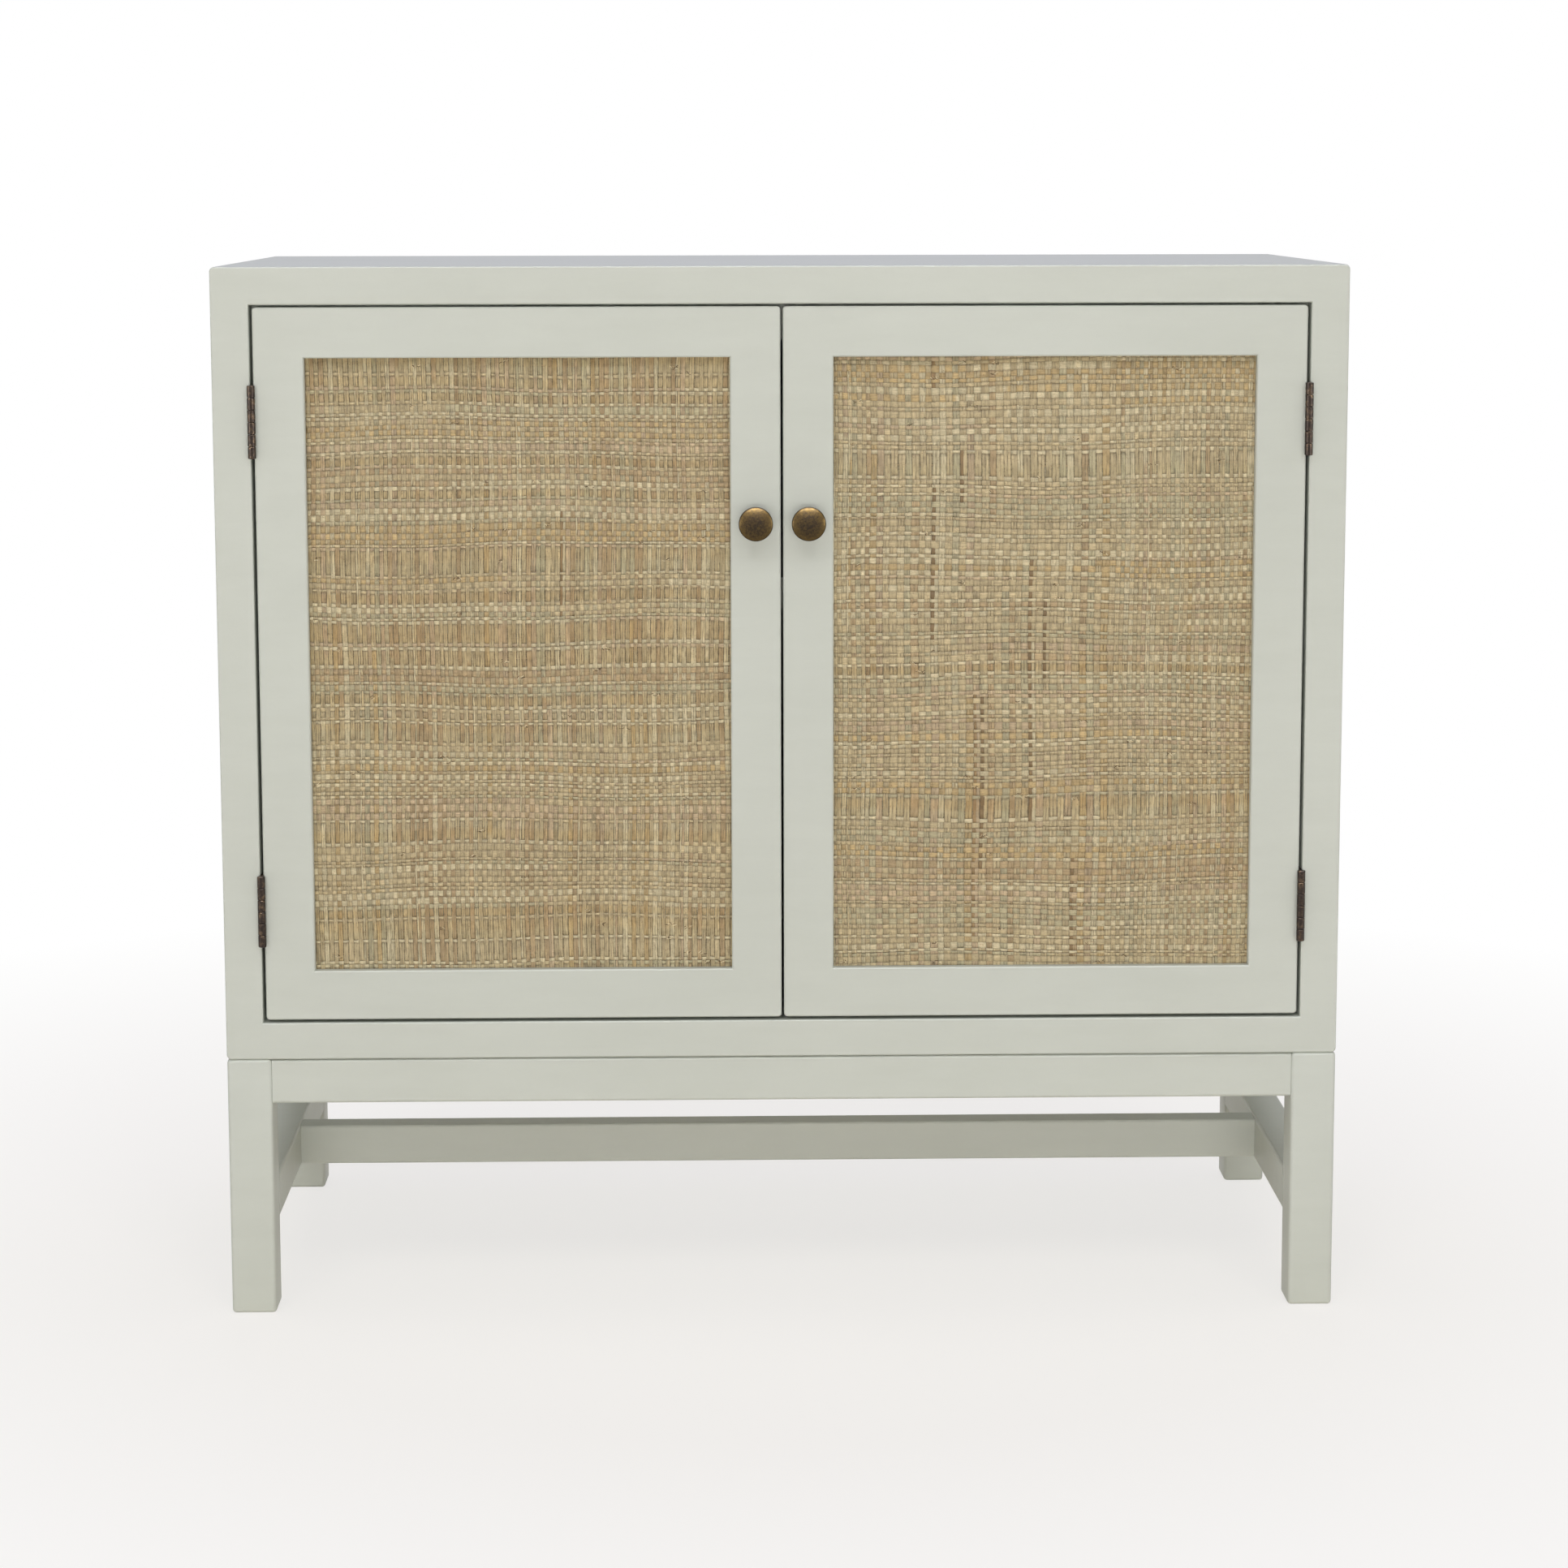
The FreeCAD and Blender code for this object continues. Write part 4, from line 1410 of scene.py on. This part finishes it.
@dataclass
class BackScrews:
    """The screws round the edge of the back panel."""

    corner_inset: float = 34 * MM
    across: int = 3
    screw: SunkScrew = SunkScrew()

    def build(self) -> None:
        """Builds the screws as one piece."""
        node = "back_panel_screws"
        low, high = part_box(node)
        middle = (low + high) / 2
        reach_x = (high.x - low.x) / 2 - self.screw.head_radius
        reach_z = (high.z - low.z) / 2 - self.screw.head_radius
        run_x = reach_x - self.corner_inset
        run_z = reach_z - self.corner_inset
        steps = [2 * step / (self.across - 1) - 1 for step in range(self.across)]
        places = [(run_x * step, reach_z * end) for step in steps for end in (-1, 1)]
        places += [(reach_x * end, run_z * up) for end in (-1, 1) for up in (-1, 1)]
        piece = Piece("back_screws_turned")
        for x, z in places:
            self.screw.drive(piece, Vector((middle.x + x, high.y, middle.z + z)), FORWARD)
        piece.finish("cabinet", Slot.ZINC, [ZINC], [node])


class Glow(Enum):
    """What a lamp lights."""

    ALL = "colour and sheen"
    COLOUR = "colour alone"
    SHEEN = "sheen alone"


@dataclass(frozen=True)
class Lamp:
    """One soft light, in metres and watts."""

    name: str
    place: Triple
    sides: Span
    power: float
    colour: str = "ffffff"
    glow: Glow = Glow.ALL

    def hang(self, aim: Vector) -> None:
        """Hangs the lamp.

        Args:
            aim: The point that it faces.
        """
        light = bpy.data.lights.new(self.name, "AREA")
        light.shape = "RECTANGLE"
        light.size, light.size_y = self.sides
        light.energy = self.power
        light.color = tint(self.colour)[:3]
        made = bpy.data.objects.new(self.name, light)
        made.location = self.place
        made.rotation_euler = (aim - Vector(self.place)).to_track_quat("-Z", "Y").to_euler()
        made.visible_camera = False
        made.visible_glossy = self.glow is not Glow.COLOUR
        made.visible_diffuse = self.glow is not Glow.SHEEN
        bpy.context.collection.objects.link(made)


KEY_SIDES: Span = (3.3, 3.3)
FILL_SIDES: Span = (3.2, 0.7)
EDGE_SIDES: Span = (0.5, 1.6)
LAMPS = (
    Lamp("left_key", (-3.6, -9.5, 10.5), KEY_SIDES, 198),
    Lamp("right_key", (3.6, -9.5, 10.5), KEY_SIDES, 187),
    Lamp("top", (0, 0.4, 2.8), (1.4, 1.4), 6, "7868ff"),
    Lamp("fill", (0, -5.0, 0.4), FILL_SIDES, 72, "fffefc", Glow.COLOUR),
    Lamp("back", (0, 5.5, 0.8), FILL_SIDES, 110, glow=Glow.COLOUR),
    Lamp("ridge", (0, -0.7, 3.0), (3.0, 0.25), 110, glow=Glow.SHEEN),
    Lamp("brow", (0, -2.6, 2.9), (3.0, 0.6), 150, glow=Glow.SHEEN),
    Lamp("left_edge", (-4.2, -3.0, 0.7), EDGE_SIDES, 70, glow=Glow.SHEEN),
    Lamp("right_edge", (4.2, -3.0, 0.7), EDGE_SIDES, 60, glow=Glow.SHEEN),
)


@dataclass
class Studio:
    """The floor, the lights and the camera."""

    image_side: float = 1932.0
    focal_pixels: float = 4359.0
    shift_pixels: float = -174.0
    eye: Triple = (-0.0542, -2.9914, 0.9150)
    bearing: float = 0.01985
    pitch: float = -0.12943
    roll: float = -0.00193
    sky: float = 0.47
    lamps: tuple[Lamp, ...] = LAMPS
    lamp_aim: Triple = (0, 0, 0.45)
    floor_colour: str = "f4eadb"
    floor_reach: float = 9.0
    floor_fade: Span = (0.68, 1.0)
    fade_range: Span = (0.5, 1.5)

    def light_room(self) -> None:
        """A soft even sky, which the camera sees as white."""
        world = bpy.data.worlds.new("studio")
        world.use_nodes = True
        bpy.context.scene.world = world
        shader = Shader(world.node_tree)
        white = (1.0, 1.0, 1.0, 1.0)
        sky, backdrop = (
            shader.node("ShaderNodeBackground", sockets={"Color": white, "Strength": strength})
            for strength in (self.sky, 1.0)
        )
        sockets = {0: self.shows_backdrop(shader), 1: sky, 2: backdrop}
        mixed = shader.node("ShaderNodeMixShader", sockets=sockets)
        shader.node("ShaderNodeOutputWorld", sockets={"Surface": mixed})

    def shows_backdrop(self, shader: Shader) -> Wire:
        """One where the backdrop is seen straight, mirrored or through a clear piece.

        Args:
            shader: The node tree to add to.

        Returns:
            The mask.
        """
        seen = shader.node("ShaderNodeLightPath", out="Is Camera Ray")
        for ray in ("Is Glossy Ray", "Is Transmission Ray"):
            other = shader.node("ShaderNodeLightPath", out=ray)
            seen = shader.node("ShaderNodeMath", {"operation": "MAXIMUM"}, {0: seen, 1: other})
        return seen

    def lay_floor(self) -> None:
        """A pale floor that turns into the white backdrop away from the cabinet."""
        bm = bmesh.new()
        bmesh.ops.create_grid(bm, x_segments=1, y_segments=1, size=self.floor_reach)
        mesh = bpy.data.meshes.new("floor")
        bm.to_mesh(mesh)
        bm.free()
        floor = bpy.data.objects.new("floor", mesh)
        bpy.context.collection.objects.link(floor)
        material = bpy.data.materials.new("pale_floor")
        material.use_nodes = True
        shader = Shader(material.node_tree)
        settings = {"operation": "LENGTH"}
        place = shader.node("ShaderNodeTexCoord", out="Object")
        away = shader.node("ShaderNodeVectorMath", settings, {0: place}, out="Value")
        fade = shader.level(away, self.fade_range, self.floor_fade)
        matt = shader.node("ShaderNodeBsdfDiffuse", sockets={"Color": tint(self.floor_colour)})
        white = shader.node("ShaderNodeEmission", sockets={"Strength": 1.0})
        factor = fade * self.shows_backdrop(shader)
        mixed = shader.node("ShaderNodeMixShader", sockets={0: factor, 1: matt, 2: white})
        shader.node("ShaderNodeOutputMaterial", sockets={"Surface": mixed})
        mesh.materials.append(material)

    def hang_lights(self) -> None:
        """Two high keys, soft fills before and behind, and lights for the top and its arrises."""
        for lamp in self.lamps:
            lamp.hang(Vector(self.lamp_aim))

    def set_camera(self) -> None:
        """Stands the camera where the photograph was taken."""
        lens = bpy.data.cameras.new("camera")
        lens.sensor_fit = "AUTO"
        lens.lens = lens.sensor_width * self.focal_pixels / self.image_side
        lens.shift_y = self.shift_pixels / self.image_side
        camera = bpy.data.objects.new("camera", lens)
        turn = Matrix.Rotation(-self.bearing, 4, "Z")
        tilt = Matrix.Rotation(math.pi / 2 + self.pitch, 4, "X")
        lean = Matrix.Rotation(self.roll, 4, "Z")
        camera.matrix_world = Matrix.Translation(self.eye) @ turn @ tilt @ lean
        bpy.context.collection.objects.link(camera)
        bpy.context.scene.camera = camera

    def build(self) -> None:
        """Sets up the studio."""
        self.light_room()
        self.lay_floor()
        self.hang_lights()
        self.set_camera()
        bpy.context.scene.view_settings.view_transform = "Standard"


def dress_solids() -> None:
    """Gives every solid that stays its finish."""
    for part in frame["record"]["subparts"]:
        solid = frame["nodes"][part["node"]]
        if solid.hide_render:
            continue
        slot = Slot(part["material_slot"])
        solid.data.materials.clear()
        solid.data.materials.append(CAD_FINISHES[slot].material())
        log.info("%s: %s", part["node"], slot.value)


def main() -> None:
    """Builds the cabinet's looks and its studio."""
    logging.basicConfig(level=logging.INFO, format="%(message)s")
    Stand().build()
    left = WeavePanel(
        Side.LEFT, seed=11, sunk_share=0.4, wide_zone=(0.0, 0.0), browns=LEFT_BROWNS
    )
    right = WeavePanel(
        Side.RIGHT, seed=23, sunk_share=0.2, wide_zone=(0.1, 0.66), browns=RIGHT_BROWNS
    )
    frame_screws = Piece("frame_leaf_screws_turned")
    for panel in (left, right):
        panel.build()
        Knob(panel.side).build()
        hinges = Hinges(panel.side)
        hinges.build()
        hinges.add_screws(frame_screws, Leaf.FRAME)
    frame_screws.finish("cabinet", Slot.BRONZE, [BRONZE], ["frame_leaf_screws"])
    BackScrews().build()
    dress_solids()
    Studio().build()


if __name__ == "__main__":
    main()
